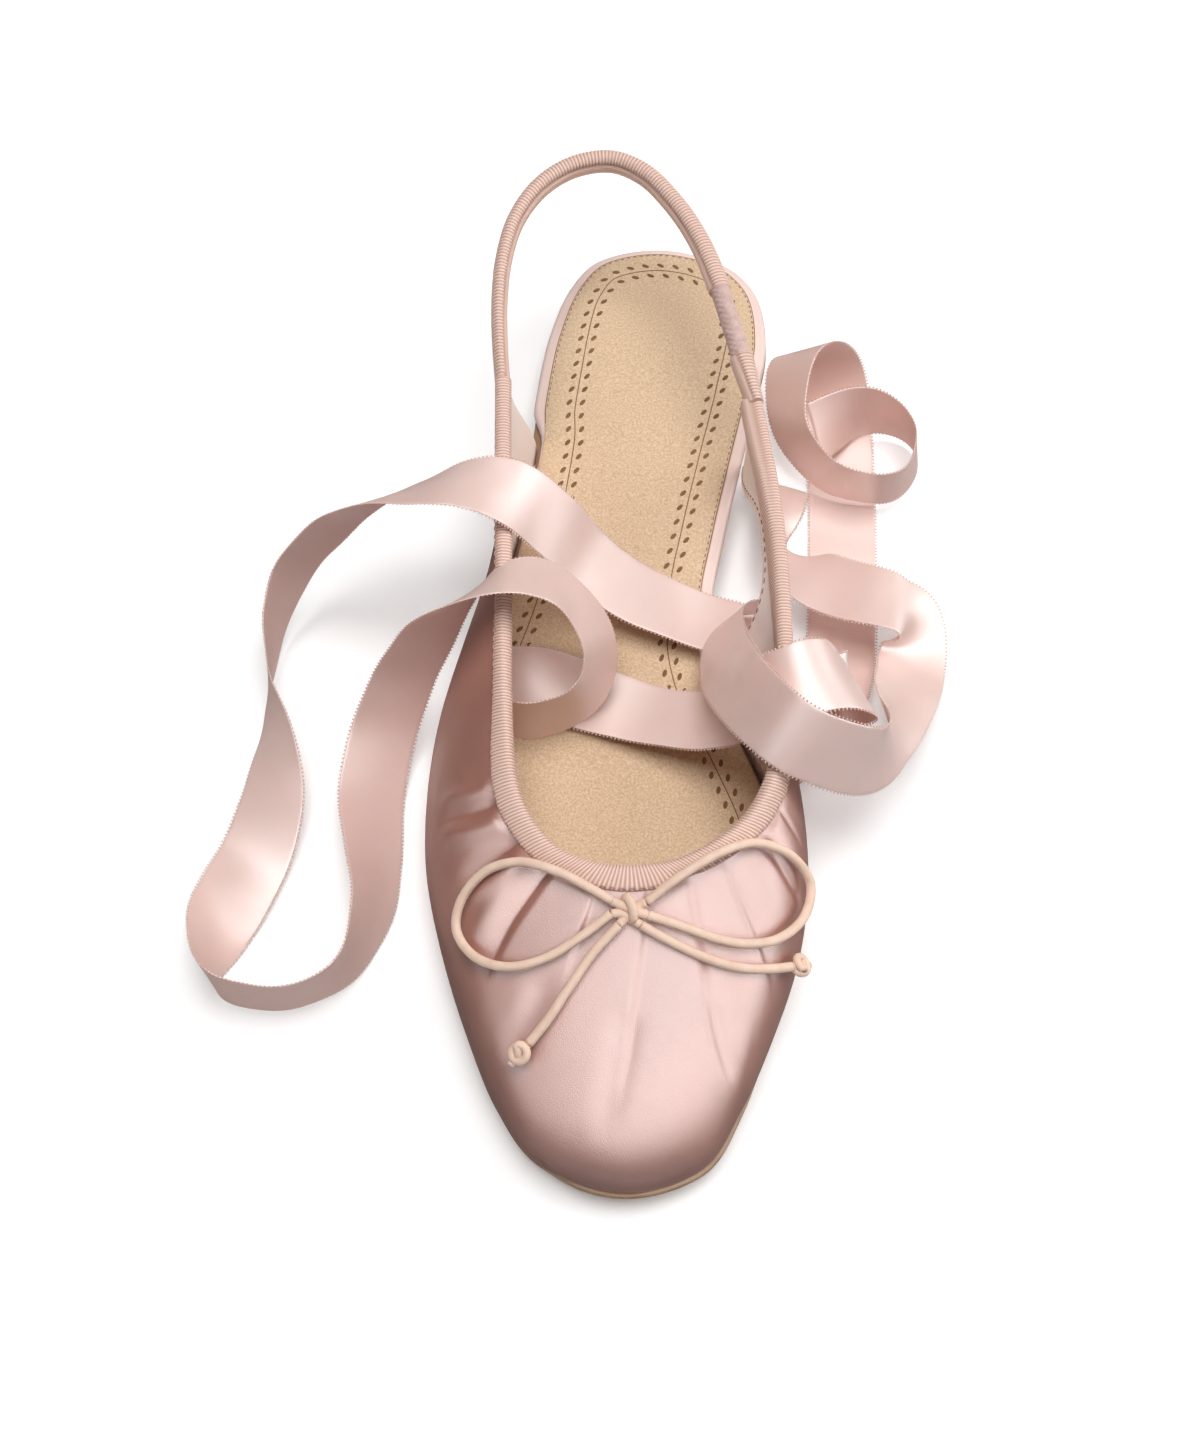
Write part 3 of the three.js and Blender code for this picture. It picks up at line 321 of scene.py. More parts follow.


# %% [markdown]
# The bow is a soft round cord of about 2 mm with a fine plaited skin. The cord could be a curve
# with a bevel, but a tube of rings also stores how far along and round the cord each point is, so
# that the plait can follow it. The length of each cord is printed.

# %% Cord finish and tube
CORD_RADIUS = 1.02
TUBE_SIDES = 16
STEEP = 0.15
cord_finish = new_finish("peach_cord")
drifting_colour(cord_finish, (0.78, 0.55, 0.425), (0.86, 0.63, 0.50), 3)
tree = cord_finish.node_tree
on_skin = {"X": stored(cord_finish, "run"), "Y": stored(cord_finish, "across")}
waves = {"Vector": wire(tree, "ShaderNodeCombineXYZ", on_skin)["Vector"], "Scale": 0.9, "Distortion": 0.6}
plait = wire(tree, "ShaderNodeTexWave", waves, bands_direction="DIAGONAL")
fine_relief(cord_finish, plait["Fac"], 0.08, 0.35)
gloss(cord_finish, 0.6, 0.3, 0.25, (1.0, 0.8, 0.65))


def tube_rings(route, radius):
    along = unit(np.gradient(route, axis=0))
    side = np.cross(along, UPWARDS)
    side[np.linalg.norm(side, axis=1) < STEEP] = [1.0, 0, 0]
    side = unit(side)
    up = np.cross(side, along)
    angle = full_turn(TUBE_SIDES)[None, :, None]
    return route[:, None] + (side[:, None] * np.cos(angle) + up[:, None] * np.sin(angle)) * radius


def tubes(name, routes, finish, radius=CORD_RADIUS):
    spots, faces, run, across = [], [], [], []
    for route in routes:
        faces += ring_faces(len(route), TUBE_SIDES, first=sum(len(s) for s in spots))
        spots.append(tube_rings(route, radius).reshape(-1, 3))
        run.append(np.repeat(run_along(route), TUBE_SIDES))
        across.append(np.tile(full_turn(TUBE_SIDES), len(route)))
    values = {"run": np.concatenate(run), "across": np.concatenate(across)}
    return make_piece(name, np.vstack(spots), faces, [finish], values=values)


def limp_cord(piece, route, length, riders):
    metres(route[:1])[0]
    metres(route)
    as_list(riders)
    print(piece.name, "is", round(float(length), 1), "mm long")


print("cord finish made, radius", CORD_RADIUS, "mm")

# %% [markdown]
# Two loops and two ends leave one knot. The loops stand a little off the throat and lie on the vamp
# further out. Each point list is the one that the solids use. The knot is what holds a real bow:
# one turn of the cord wrapped over the crossing strands, tilted as the photograph shows it.

# %% Bow
BOW = {
    "bow_loop_lateral": [
        (-6.8, -69.7, 38.2),
        (-11.0, -67.6, 39.2),
        (-18.0, -64.6, 40.6),
        (-26.4, -62.0, 39.0),
        (-33.8, -63.2, 35.6),
        (-38.8, -68.4, 31.0),
        (-39.4, -73.8, 28.6),
        (-35.2, -79.8, 29.8),
        (-28.0, -82.6, 32.0),
        (-20.0, -81.0, 33.8),
        (-12.4, -76.4, 35.9),
        (-6.9, -72.2, 37.4),
    ],
    "bow_loop_medial": [
        (0.4, -69.7, 38.2),
        (7.2, -64.6, 40.6),
        (16.2, -59.0, 41.4),
        (22.8, -56.2, 39.4),
        (30.6, -56.8, 34.8),
        (35.4, -60.8, 28.6),
        (34.2, -67.6, 27.8),
        (28.2, -74.2, 31.0),
        (21.2, -76.4, 33.6),
        (15.8, -76.1, 34.8),
        (7.6, -74.0, 36.4),
        (0.6, -72.2, 37.4),
    ],
    "bow_end_lateral": [
        (-5.2, -74.4, 36.7),
        (-10.2, -79.8, 34.9),
        (-15.4, -87.4, 32.4),
        (-19.4, -93.4, 30.2),
        (-22.9, -97.6, 28.1),
    ],
    "bow_end_medial": [
        (-0.6, -74.2, 36.6),
        (5.6, -77.0, 35.2),
        (12.6, -79.6, 33.6),
        (20.6, -81.0, 31.6),
        (27.2, -80.0, 28.8),
        (31.6, -78.2, 25.2),
    ],
}
ROUTE_POINTS = 400
TUBE_STEP = 0.7
STRAND_POINTS = 60
INSIDE_STEP = 0.5
bow = {}
for name, points in BOW.items():
    route = evenly(smooth_curve(points, ROUTE_POINTS), TUBE_STEP)
    bow[name] = tubes(name + "_cord", [route], cord_finish)
    dress(bow[name], "cord", name)
KNOT_MIDDLE = np.array([-3.2, -71.1, 37.6])
WRAP_LONG = np.array([0.85, -2.1, -0.35])
WRAP_HIGH = np.array([0.5, 0.3, 1.75])
angle = np.linspace(0, 2 * np.pi, 40)
wrap = KNOT_MIDDLE + np.outer(np.cos(angle), WRAP_LONG) + np.outer(np.sin(angle), WRAP_HIGH)
strands = [
    [BOW["bow_loop_lateral"][0], (-4.6, -70.6, 38.0), (-1.8, -71.6, 37.8), BOW["bow_loop_medial"][-1]],
    [BOW["bow_loop_lateral"][-1], (-4.8, -72.0, 37.2), (-2.2, -73.2, 36.6), BOW["bow_end_medial"][0]],
    [BOW["bow_loop_medial"][0], (-1.4, -70.4, 37.4), (-3.6, -72.4, 36.6), BOW["bow_end_lateral"][0]],
]
inside = [evenly(smooth_curve(points, STRAND_POINTS), INSIDE_STEP) for points in strands]
bow_knot = tubes("bow_knot_wrap", [wrap, *inside], cord_finish)
dress(bow_knot, "cord", "bow_knot")

# %% [markdown]
# Each end is stopped by a small overhand knot: the cord makes one flat ring over itself, and a short
# stub comes out through the middle. A rising circle and a curved stub give that, in one tube.

# %% End knots
COIL_RADIUS = 1.7
COIL_CORD = 0.88
COIL_TURN = np.linspace(0, 2.3 * np.pi, 40)
COIL_CLIMB = np.linspace(-0.3, 1.5, 40)
STUB = [(0.2, 0.9), (1.6, 0.0), (3.2, -0.2)]
STUB_POINTS = 16
PATH_STEP = 1.5
END_KNOTS = {
    "bow_end_lateral": ("end_knot_lateral", (-24.6, -99.4, 27.2)),
    "bow_end_medial": ("end_knot_medial", (33.4, -77.4, 23.3)),
}


def end_knot(node, points, middle):
    along = unit(middle - np.array(points[-2]))
    side = unit(np.cross(along, UPWARDS))
    up = np.cross(side, along)
    coil = middle + np.outer(COIL_CLIMB, up)
    coil += COIL_RADIUS * (np.outer(np.sin(COIL_TURN), side) - np.outer(np.cos(COIL_TURN), along))
    stub = [middle + up * rise + along * ahead for ahead, rise in STUB]
    stub = smooth_curve([coil[-1], *stub], STUB_POINTS)[2:]
    knot = tubes(node + "_coil", [np.vstack([points[-1], coil, stub])], cord_finish, COIL_CORD)
    dress(knot, "cord", node)
    return knot


on_cord = {"bow_loop_lateral": [bow_knot]}
for name, (node, middle) in END_KNOTS.items():
    on_cord[name] = [end_knot(node, BOW[name], np.array(middle))]
for name, points in BOW.items():
    route = evenly(smooth_curve(points, ROUTE_POINTS), PATH_STEP)
    limp_cord(bow[name], route, run_along(route)[-1], on_cord.get(name, []))

# %% [markdown]
# The ties are three lengths of satin ribbon, 16.5 mm wide. The cloth is so thin that light comes
# through it, and the side turned away from the lamp is never quite dark. A thin sheet could be made
# see-through, but a little light scattered under its skin gives the same glow and keeps the ribbon
# whole. Its weft threads run across, so they are drawn along the stored run.

# %% Ribbon finish
ribbon_finish = new_finish("ribbon_satin")
drifting_colour(ribbon_finish, (0.76, 0.55, 0.495), (0.80, 0.595, 0.545), 18)
tree = ribbon_finish.node_tree
along_band = wire(tree, "ShaderNodeCombineXYZ", {"X": stored(ribbon_finish, "run")})["Vector"]
weft = {"Vector": along_band, "Scale": 0.75, "Distortion": 1.5, "Detail Scale": 4.0}
fine_relief(ribbon_finish, wire(tree, "ShaderNodeTexWave", weft)["Fac"], 0.04, 0.25)
gloss(ribbon_finish, 0.43, 0.5, 0.0, bends=2.2)
shade(ribbon_finish, {"Subsurface Weight": 0.5, "Subsurface Scale": 0.8 * MM})
shade(ribbon_finish, {"Subsurface Radius": (1.0, 0.75, 0.7)})
# painted shade: the picot loops are coloured darker than the ribbon they are woven from
picot_shaded_finish = cloth(
    "picot_thread_shaded", (0.7, 0.47, 0.4), (0.76, 0.53, 0.46),
    rough=0.6, specular=0.4, thread_mm=0.3, relief_mm=0.03,
)
print("ribbon and picot finishes made")

# %% [markdown]
# A ribbon bends along its length and twists, but hardly stretches, so each row of its route has a
# place and the direction of one edge. The rows were chosen from the photograph. A curve
# through all of them would show every small error as a bump, so the places and the edges are then
# averaged over their neighbours, which gives the long calm waves that a real ribbon falls into.

# %% Ribbon routes
RIBBON_WIDE = 16.5
RIBBON_THICK = 0.36
RIBBONS = {
    "ribbon_long": [
        (28, 6.5, 10.4, 0.1, -0.97, 0.1),
        (24, 9.6, 11.1, 0.15, -0.97, 0.1),
        (19, 10.5, 12.2, -0.12, -0.97, 0.15),
        (11.7, 11.4, 13.6, -0.2, -0.96, 0.19),
        (0, 14.8, 15.6, -0.26, -0.96, 0.09),
        (-9.4, 18.4, 18.8, -0.25, -0.97, 0),
        (-18, 21.6, 27.4, -0.45, -0.88, 0),
        (-24.8, 23.4, 40.4, -0.45, -0.89, 0.06),
        (-33.6, 24, 51, -0.38, -0.91, 0.08),
        (-44, 23.4, 51.5, -0.22, -0.93, 0.25),
        (-55, 24, 47.5, -0.05, -0.75, 0.66),
        (-66, 25, 40.5, -0.05, -0.48, 0.87),
        (-76, 23.6, 31.5, -0.18, -0.24, 0.95),
        (-83.6, 19.8, 22.5, -0.34, -0.3, 0.89),
        (-88.4, 14, 15.5, -0.3, -0.38, 0.87),
        (-90.5, 7, 11.5, -0.15, -0.43, 0.88),
        (-90.8, -1, 9.8, 0.05, -0.43, 0.9),
        (-89.8, -9, 9, 0.25, -0.4, 0.88),
        (-87.8, -18, 8.2, 0.55, -0.3, 0.78),
        (-86.4, -29, 5.8, 0.87, -0.12, 0.48),
        (-87, -37, 3.6, 0.96, -0.12, 0.22),
        (-88.7, -46, 2.6, 0.96, -0.25, 0.05),
        (-91.6, -54.5, 3, 0.93, -0.2, -0.2),
        (-95, -64.5, 5.4, 0.8, 0.15, -0.55),
        (-96.7, -72.6, 8, 0.45, 0.17, -0.87),
        (-96.6, -78.6, 9, -0.02, 0.03, -1),
        (-92.6, -82.4, 9, -0.1, -0.02, -0.99),
        (-86.5, -84.3, 9, -0.03, -0.06, -1),
        (-79.2, -84.3, 9, 0.03, -0.01, -1),
        (-72.2, -82.5, 9, 0.1, 0.07, -0.99),
        (-66.1, -78.6, 9, 0.2, 0.13, -0.97),
        (-61.9, -71.6, 8.8, 0.27, 0.24, -0.93),
        (-60.3, -61.6, 8.2, 0.43, 0.31, -0.85),
        (-61.2, -50.6, 7.4, 0.57, 0.31, -0.76),
        (-63.3, -39.4, 6, 0.78, 0.23, -0.59),
        (-64.1, -30, 5.6, 0.84, 0.23, -0.49),
        (-62.7, -23.1, 8.5, 0.86, 0.11, -0.49),
        (-59.5, -14.2, 15, 0.82, 0.14, -0.55),
        (-54.6, -7.1, 25, 0.65, 0.13, -0.75),
        (-48.8, -4.1, 35, 0.41, 0.22, -0.89),
        (-44.7, -2.2, 41.5, 0.29, 0.45, -0.84),
        (-39.4, -0.6, 46.2, 0, 0.64, -0.76),
        (-32.6, 1, 50, -0.08, 0.83, -0.52),
        (-25, 2.8, 47, 0.05, 0.86, -0.5),
        (-18.2, 2, 41, 0.25, 0.75, -0.6),
        (-13, -1.5, 34.6, 0.42, 0.5, -0.75),
        (-10.8, -6.5, 28.4, 0.45, 0.3, -0.84),
        (-11.6, -11.4, 24, 0.3, 0.08, -0.95),
        (-15.5, -15.8, 21, 0.15, 0, -0.99),
        (-21, -18.4, 18.8, 0.05, -0.02, -1),
        (-27, -19.4, 18, 0, -0.05, -1),
        (-33, -18.4, 17.8, 0.05, -0.08, -0.99),
        (-37, -14, 17.6, 0.2, -0.15, -0.96),
        (-36, -8.5, 16.8, 0.2, -0.4, -0.9),
        (-30, -6, 14.4, 0.1, -0.75, -0.65),
        (-22, -6.5, 12.2, -0.05, -0.95, -0.28),
        (-13, -9, 10.9, -0.15, -0.97, -0.12),
        (-4, -12, 11, -0.15, -0.97, 0.1),
        (4, -14.5, 12.4, -0.15, -0.95, 0.25),
        (11.5, -17, 17, -0.1, -0.95, 0.3),
        (20.3, -20, 27, 0.05, -0.95, 0.2),
        (23.8, -22, 41, 0.15, -0.95, 0),
        (27.4, -23, 46.2, 0.38, -0.9, 0.05),
        (32, -21.6, 48, 0.5, -0.84, -0.15),
        (37, -19.6, 47.8, 0.52, -0.8, -0.25),
        (42, -18.6, 44.6, 0.55, -0.8, -0.2),
        (45.6, -18, 40, 0.5, -0.86, -0.1),
        (46.4, -17, 35.6, 0.47, -0.88, -0.06),
        (43.6, -16.2, 32.8, 0.46, -0.885, -0.03),
        (39.4, -15.6, 32.4, 0.45, -0.89, 0),
    ],
    "ribbon_curl": [
        (38.2, -27, 12.4, 0.42, 0, 0.9),
        (39.6, -20.5, 10.5, 0.6, 0, 0.8),
        (41.8, -13, 8, 0.8, 0.1, 0.6),
        (45, -3, 4, 0.96, 0.1, 0.25),
        (47, 8, 1.6, 1, 0, 0.05),
        (47.6, 22, 1, 1, 0, 0),
        (48, 38, 1, 1, 0, 0),
        (48.3, 54, 1, 1, 0, 0),
        (48.2, 66, 1, 1, 0, 0),
        (48, 75.8, 1.3, 1, 0.03, 0),
        (47.4, 81.9, 4.6, 0.98, 0.09, 0.14),
        (46.1, 85.7, 9.8, 0.94, 0.1, 0.32),
        (43.2, 88.3, 16.5, 0.89, -0.02, 0.46),
        (37.8, 87.6, 23, 0.78, -0.16, 0.59),
        (33.9, 82.5, 24.5, 0.69, -0.2, 0.69),
        (32.2, 75.4, 22.5, 0.59, -0.3, 0.75),
        (32.2, 69.5, 19.4, 0.47, -0.29, 0.84),
        (33.6, 64.4, 16.6, 0.37, -0.28, 0.88),
        (36.9, 59.9, 14, 0.26, -0.22, 0.94),
        (42, 56, 12, 0.18, -0.18, 0.97),
        (48.2, 52.6, 11.4, 0.1, -0.17, 0.98),
        (54.3, 51.4, 11, 0.03, -0.16, 0.99),
        (59.9, 53, 10.3, -0.05, -0.14, 0.99),
        (63.6, 56.4, 9.5, -0.13, -0.16, 0.98),
        (66, 61.3, 9.4, -0.18, -0.17, 0.97),
        (66.8, 67, 9.5, -0.18, -0.17, 0.97),
        (65.3, 71.4, 9.8, -0.13, -0.17, 0.97),
        (61.6, 74.4, 10.4, -0.03, -0.1, 0.99),
        (56.9, 75.6, 11, -0.06, 0.05, 0.99),
        (51.7, 75, 11.6, -0.14, 0.2, 0.97),
        (46.8, 72.5, 12.2, -0.22, 0.35, 0.91),
        (40.5, 67.4, 12.4, -0.34, 0.48, 0.81),
    ],
    "ribbon_medial": [
        (28, 12, 19.8, -0.05, 0.3, -0.95),
        (22.4, 12.4, 20.4, -0.15, 0.3, -0.94),
        (17, 7.6, 22, -0.3, 0.25, -0.9),
        (15.2, -4, 26.4, -0.45, 0.05, -0.87),
        (17.3, -14, 36.4, -0.6, -0.6, -0.55),
        (21.5, -27, 47, -0.34, -0.74, -0.58),
        (27.5, -34.8, 49, -0.27, -0.62, -0.74),
        (35.4, -37.8, 47, -0.2, -0.56, -0.8),
        (43.5, -38, 42.6, -0.1, -0.54, -0.83),
        (49.2, -36, 37.4, -0.04, -0.48, -0.87),
        (51.9, -32.1, 33.4, 0.07, -0.29, -0.95),
        (53.8, -26.4, 28.8, 0.3, -0.3, -0.88),
        (56.2, -18.3, 22.8, 0.58, -0.34, -0.68),
        (58.9, -9.3, 16, 0.8, -0.36, -0.42),
        (61.6, -1.2, 9.8, 0.92, -0.28, -0.24),
        (63.2, 5, 6.8, 0.96, -0.12, -0.2),
        (64, 9.6, 8.2, 0.95, 0.1, -0.25),
        (63.8, 12.6, 11.6, 0.8, 0.38, -0.42),
        (62.4, 14.4, 15.6, 0.5, 0.72, -0.4),
        (59.2, 15.4, 18, 0.22, 0.95, -0.16),
        (54.6, 16.8, 17.6, 0.19, 0.98, -0.06),
        (47.6, 20, 15.4, 0.16, 0.98, -0.05),
        (41.1, 24, 12.4, 0.12, 0.97, -0.16),
        (35.8, 28.6, 10, 0.14, 0.95, -0.26),
        (31.8, 34.4, 8.6, 0.4, 0.65, -0.6),
        (29.6, 40, 8.8, 0.3, 0.1, -0.95),
        (29.8, 46, 7, 0.5, -0.05, -0.85),
        (30.8, 53, 4.2, 0.85, -0.3, -0.35),
        (31.6, 58.6, 1.8, 0.92, -0.38, -0.06),
    ],
}


def through(values, at):
    column = np.asarray(values, float)
    padded = np.concatenate([[2 * column[0] - column[1]], column, [2 * column[-1] - column[-2]]])
    i = np.clip(np.floor(at).astype(int), 0, len(column) - 2)
    t = (at - i).reshape(at.shape + (1,) * (column.ndim - 1))
    p0, p1, p2, p3 = (padded[i + k] for k in range(4))
    square = (2 * p0 - 5 * p1 + 4 * p2 - p3) * t**2
    return 0.5 * (2 * p1 + (p2 - p0) * t + square + (3 * p1 - p0 - 3 * p2 + p3) * t**3)


EASE = 7
ROW_STEPS = 10


def eased(values):
    reach = 3 * EASE
    weights = np.exp(-0.5 * (np.arange(-reach, reach + 1) / EASE) ** 2)
    before = 2 * values[0] - values[reach:0:-1]
    after = 2 * values[-1] - values[-2:-reach - 2:-1]
    padded = np.vstack([before, values, after])
    columns = [np.convolve(padded[:, k], weights / weights.sum(), "valid") for k in range(3)]
    return np.stack(columns, axis=1)


def ribbon_band(rows):
    table = np.array(rows, float)
    at = np.linspace(0, len(table) - 1, (len(table) - 1) * ROW_STEPS + 1)
    middle = eased(through(table[:, :3], at))
    along = unit(np.gradient(middle, axis=0))
    wide = eased(through(table[:, 3:], at))
    wide = unit(wide - along * np.sum(wide * along, axis=1, keepdims=True))
    return middle, wide, np.cross(along, wide)


print("ribbon rows:", {name: len(rows) for name, rows in RIBBONS.items()})


# %% [markdown]
# Small loops of weft show along both edges of a woven ribbon as a row of dots. They repeat along a
# path, which is what Geometry Nodes do well: the edge becomes a curve, the curve gets points at an
# even pitch, and each point gets one small shape, turned along the path and towards the surface.
# The same tree later sews stitches and prints the leaf marks on the sock, with other sizes.

# %% Node tree for marks along a path
def new_tree(name, numbers, result):
    tree = bpy.data.node_groups.new(name, "GeometryNodeTree")
    kinds = {"Path": "Geometry", **dict.fromkeys(numbers, "Float"), "Finish": "Material"}
    for socket, kind in kinds.items():
        tree.interface.new_socket(socket, in_out="INPUT", socket_type="NodeSocket" + kind)
    tree.interface.new_socket(result, in_out="OUTPUT", socket_type="NodeSocketGeometry")
    return tree


def marks_tree():
    tree = new_tree("marks_along_a_path", ("Pitch", "Long", "Wide", "High", "Slant"), "Marks")
    given = wire(tree, "NodeGroupInput", {})
    curve = wire(tree, "GeometryNodeMeshToCurve", {"Mesh": given["Path"]})
    spaced = {"Curve": curve["Curve"], "Length": given["Pitch"]}
    even = wire(tree, "GeometryNodeResampleCurve", spaced, mode="LENGTH")
    tangent = wire(tree, "GeometryNodeInputTangent", {})
    ahead = wire(tree, "FunctionNodeAlignRotationToVector", {"Vector": tangent["Tangent"]}, axis="X")
    facing = wire(tree, "GeometryNodeInputNamedAttribute", {"Name": "facing"}, data_type="FLOAT_VECTOR")
    towards = {"Rotation": ahead["Rotation"], "Vector": facing["Attribute"]}
    outwards = wire(tree, "FunctionNodeAlignRotationToVector", towards, axis="Z", pivot_axis="X")
    slant = wire(tree, "FunctionNodeAxisAngleToRotation", {"Axis": UPWARDS, "Angle": given["Slant"]})
    both = {"Rotation": outwards["Rotation"], "Rotate By": slant["Rotation"]}
    turned = wire(tree, "FunctionNodeRotateRotation", both, rotation_space="LOCAL")
    shape = wire(tree, "GeometryNodeMeshIcoSphere", {"Radius": 0.5, "Subdivisions": 2})
    lengths = {"X": given["Long"], "Y": given["Wide"], "Z": given["High"]}
    placing = {
        "Points": even["Curve"],
        "Instance": shape["Mesh"],
        "Rotation": turned["Rotation"],
        "Scale": wire(tree, "ShaderNodeCombineXYZ", lengths)["Vector"],
    }
    placed = wire(tree, "GeometryNodeInstanceOnPoints", placing)
    real = wire(tree, "GeometryNodeRealizeInstances", {"Geometry": placed["Instances"]})
    soft = wire(tree, "GeometryNodeSetShadeSmooth", {"Geometry": real["Geometry"]})
    dyed = wire(tree, "GeometryNodeSetMaterial", {"Geometry": soft["Geometry"], "Material": given["Finish"]})
    wire(tree, "NodeGroupOutput", {"Marks": dyed["Geometry"]})
    return tree


MARKS = marks_tree()
print("tree for marks:", len(MARKS.nodes), "nodes")

# %% [markdown]
# The tree needs a path to work on: a plain chain of edges that also stores which way its marks
# face, upwards if nothing else is said. The inputs are set by the identifiers of their sockets,
# since those stay the same when a socket is renamed. The grown mesh is copied to an object of its
# own and the path is taken away, so that no live modifier is left on a finished piece.

# %% Growing marks
def path_object(paths, facings):
    mesh = bpy.data.meshes.new("path")
    edges = []
    first = 0
    for path in paths:
        edges += [(first + k, first + k + 1) for k in range(len(path) - 1)]
        first += len(path)
    mesh.from_pydata(metres(np.vstack(paths)), edges, [])
    facing = mesh.attributes.new("facing", "FLOAT_VECTOR", "POINT")
    facing.data.foreach_set("vector", np.vstack(facings).ravel())
    path = bpy.data.objects.new("path", mesh)
    bpy.context.scene.collection.objects.link(path)
    return path


def grown(name, tree, paths, sizes, facings=None):
    path = path_object(paths, facings or [np.tile(UPWARDS, (len(path), 1)) for path in paths])
    growth = path.modifiers.new("growth", "NODES")
    growth.node_group = tree
    for item in tree.interface.items_tree:
        if item.in_out == "INPUT" and item.name in sizes:
            growth[item.identifier] = sizes[item.name]
    bpy.context.view_layer.update()
    finished = path.evaluated_get(bpy.context.evaluated_depsgraph_get())
    mesh = bpy.data.meshes.new_from_object(finished)
    mesh.name = name
    path.modifiers.remove(growth)
    bpy.data.objects.remove(path)
    piece = bpy.data.objects.new(name, mesh)
    bpy.context.scene.collection.objects.link(piece)
    return piece


def marks(name, paths, finish, pitch, size, facings=None, slant=0.0):
    long, wide, high = size
    sizes = {"Pitch": pitch * MM, "Long": long * MM, "Wide": wide * MM, "High": high * MM}
    sizes.update(Slant=slant, Finish=finish)
    return grown(name, MARKS, paths, sizes, facings)


print("marks can be grown")

# %% [markdown]
# Each band is lofted from rings with two faces, a slight thickness and a thinner edge. A ribbon
# that has been wound on a reel is never quite flat, so two slow waves lift it by a fraction of a
# millimetre. Band and picots are kept just above the floor. The picots follow the band's edges.

# %% Ribbons
RIBBON_ACROSS = np.array([-1, -0.985, -0.9, -0.7, -0.45, -0.2, 0, 0.2, 0.45, 0.7, 0.9, 0.985, 1])
HALF_THICK = RIBBON_THICK * np.where(np.abs(RIBBON_ACROSS) > 0.99, 0.35, 0.45)
RIPPLE_HIGH = 0.3
RIPPLE_LONG = 21
RIPPLE_BEAT = 3.7
FLOOR_CLEAR = 0.05
PICOT_OUT = 0.28
PICOT_CLEAR = 0.4
PICOT_PITCH = 0.95
PICOT_SIZE = (0.42, 0.6, 0.34)
for name, rows in RIBBONS.items():
    middle, wide, facing = ribbon_band(rows)
    run = run_along(middle)
    beat = np.sin(2 * np.pi * run / (RIPPLE_BEAT * RIPPLE_LONG))
    ripple = RIPPLE_HIGH * np.sin(2 * np.pi * run / RIPPLE_LONG) * beat
    middle = middle + facing * ripple[:, None]
    faces_of_band = []
    for sign in (1, -1):
        across = RIBBON_ACROSS[::sign] * RIBBON_WIDE / 2
        flat = middle[:, None] + wide[:, None] * across[None, :, None]
        faces_of_band.append(flat + facing[:, None] * (sign * HALF_THICK)[None, :, None])
    rings = np.concatenate(faces_of_band, axis=1)
    rings[..., 2] = np.maximum(rings[..., 2], FLOOR_CLEAR)
    band = loft(name + "_band", rings, [ribbon_finish], values={"run": np.repeat(run, rings.shape[1])})
    dress(band, "ribbon", name)
    edges = [middle + wide * side * (RIBBON_WIDE / 2 + PICOT_OUT) for side in (-1, 1)]
    for edge in edges:
        edge[:, 2] = np.maximum(edge[:, 2], PICOT_CLEAR)
    picots = marks(name + "_picots", edges, picot_shaded_finish, PICOT_PITCH, PICOT_SIZE, [facing, facing])
    dress(picots, "ribbon")
    limp_cord(band, middle, run[-1], [picots])

# %% [markdown]
# The sole has the outline of the last: a plan drawn through measured widths. Its underside is a
# table of heights for toe spring, tread, arch and heel seat. A slope-limited curve keeps the tread
# flat where the table says so. Slabs are lofted from toe to heel, one ring of points a station.

# %% Plan and underside of the last
PLAN = [
    (119.5, -16.5, 17.0),
    (110, -23.6, 25.6),
    (94, -28.4, 28.3),
    (76, -30.8, 25.8),
    (56, -32.4, 21.8),
    (36, -35.2, 17.9),
    (18, -39.4, 15.2),
    (0, -44.8, 17.4),
    (-18, -48.8, 26.0),
    (-36, -50.2, 33.4),
    (-54, -49.2, 36.2),
    (-72, -44.8, 34.8),
    (-90, -38.4, 29.2),
    (-106, -31.0, 22.4),
    (-118, -21.4, 14.8),
]
UNDERSIDE = [
    (-124, 5.0),
    (-104, 2.3),
    (-86, 0.6),
    (-74, 0.0),
    (-54, 0.0),
    (-32, 0.0),
    (-14, 0.5),
    (8, 2.2),
    (32, 5.2),
    (56, 7.4),
    (84, 8.2),
    (124, 8.6),
]
LENGTH = 248
OUTSOLE_THICK = 3.0
MEET_GAP = 0.3
BOARD_THICK = 3.0
SOCK_THICK = 1.0
TOE_TIP = (-2.5, -LENGTH / 2)
HEEL_TIP = (0, LENGTH / 2)
PLAN_STEPS = 720
lateral_side = [(row[1], row[0]) for row in PLAN[::-1]]
medial_side = [(row[2], row[0]) for row in PLAN]
plan = smooth_curve([TOE_TIP, *lateral_side, HEEL_TIP, *medial_side], PLAN_STEPS, closed=True)


def along_table(rows, at):
    xs, ys = np.array(rows, float).T
    rise = np.diff(ys) / np.diff(xs)
    product = rise[:-1] * rise[1:]
    total = np.where(product > 0, rise[:-1] + rise[1:], 1)
    slope = np.concatenate([rise[:1], np.where(product > 0, 2 * product / total, 0), rise[-1:]])
    q = np.clip(at, xs[0], xs[-1])
    i = np.clip(np.searchsorted(xs, q, side="right") - 1, 0, len(xs) - 2)
    span = xs[i + 1] - xs[i]
    t = (q - xs[i]) / span
    start = ys[i] * (2 * t**3 - 3 * t**2 + 1) + slope[i] * span * (t**3 - 2 * t**2 + t)
    return start + ys[i + 1] * (3 * t**2 - 2 * t**3) + slope[i + 1] * span * (t**3 - t**2)


def sole_under(y):
    return along_table(UNDERSIDE, y)


def sole_top(y):
    return sole_under(y) + OUTSOLE_THICK


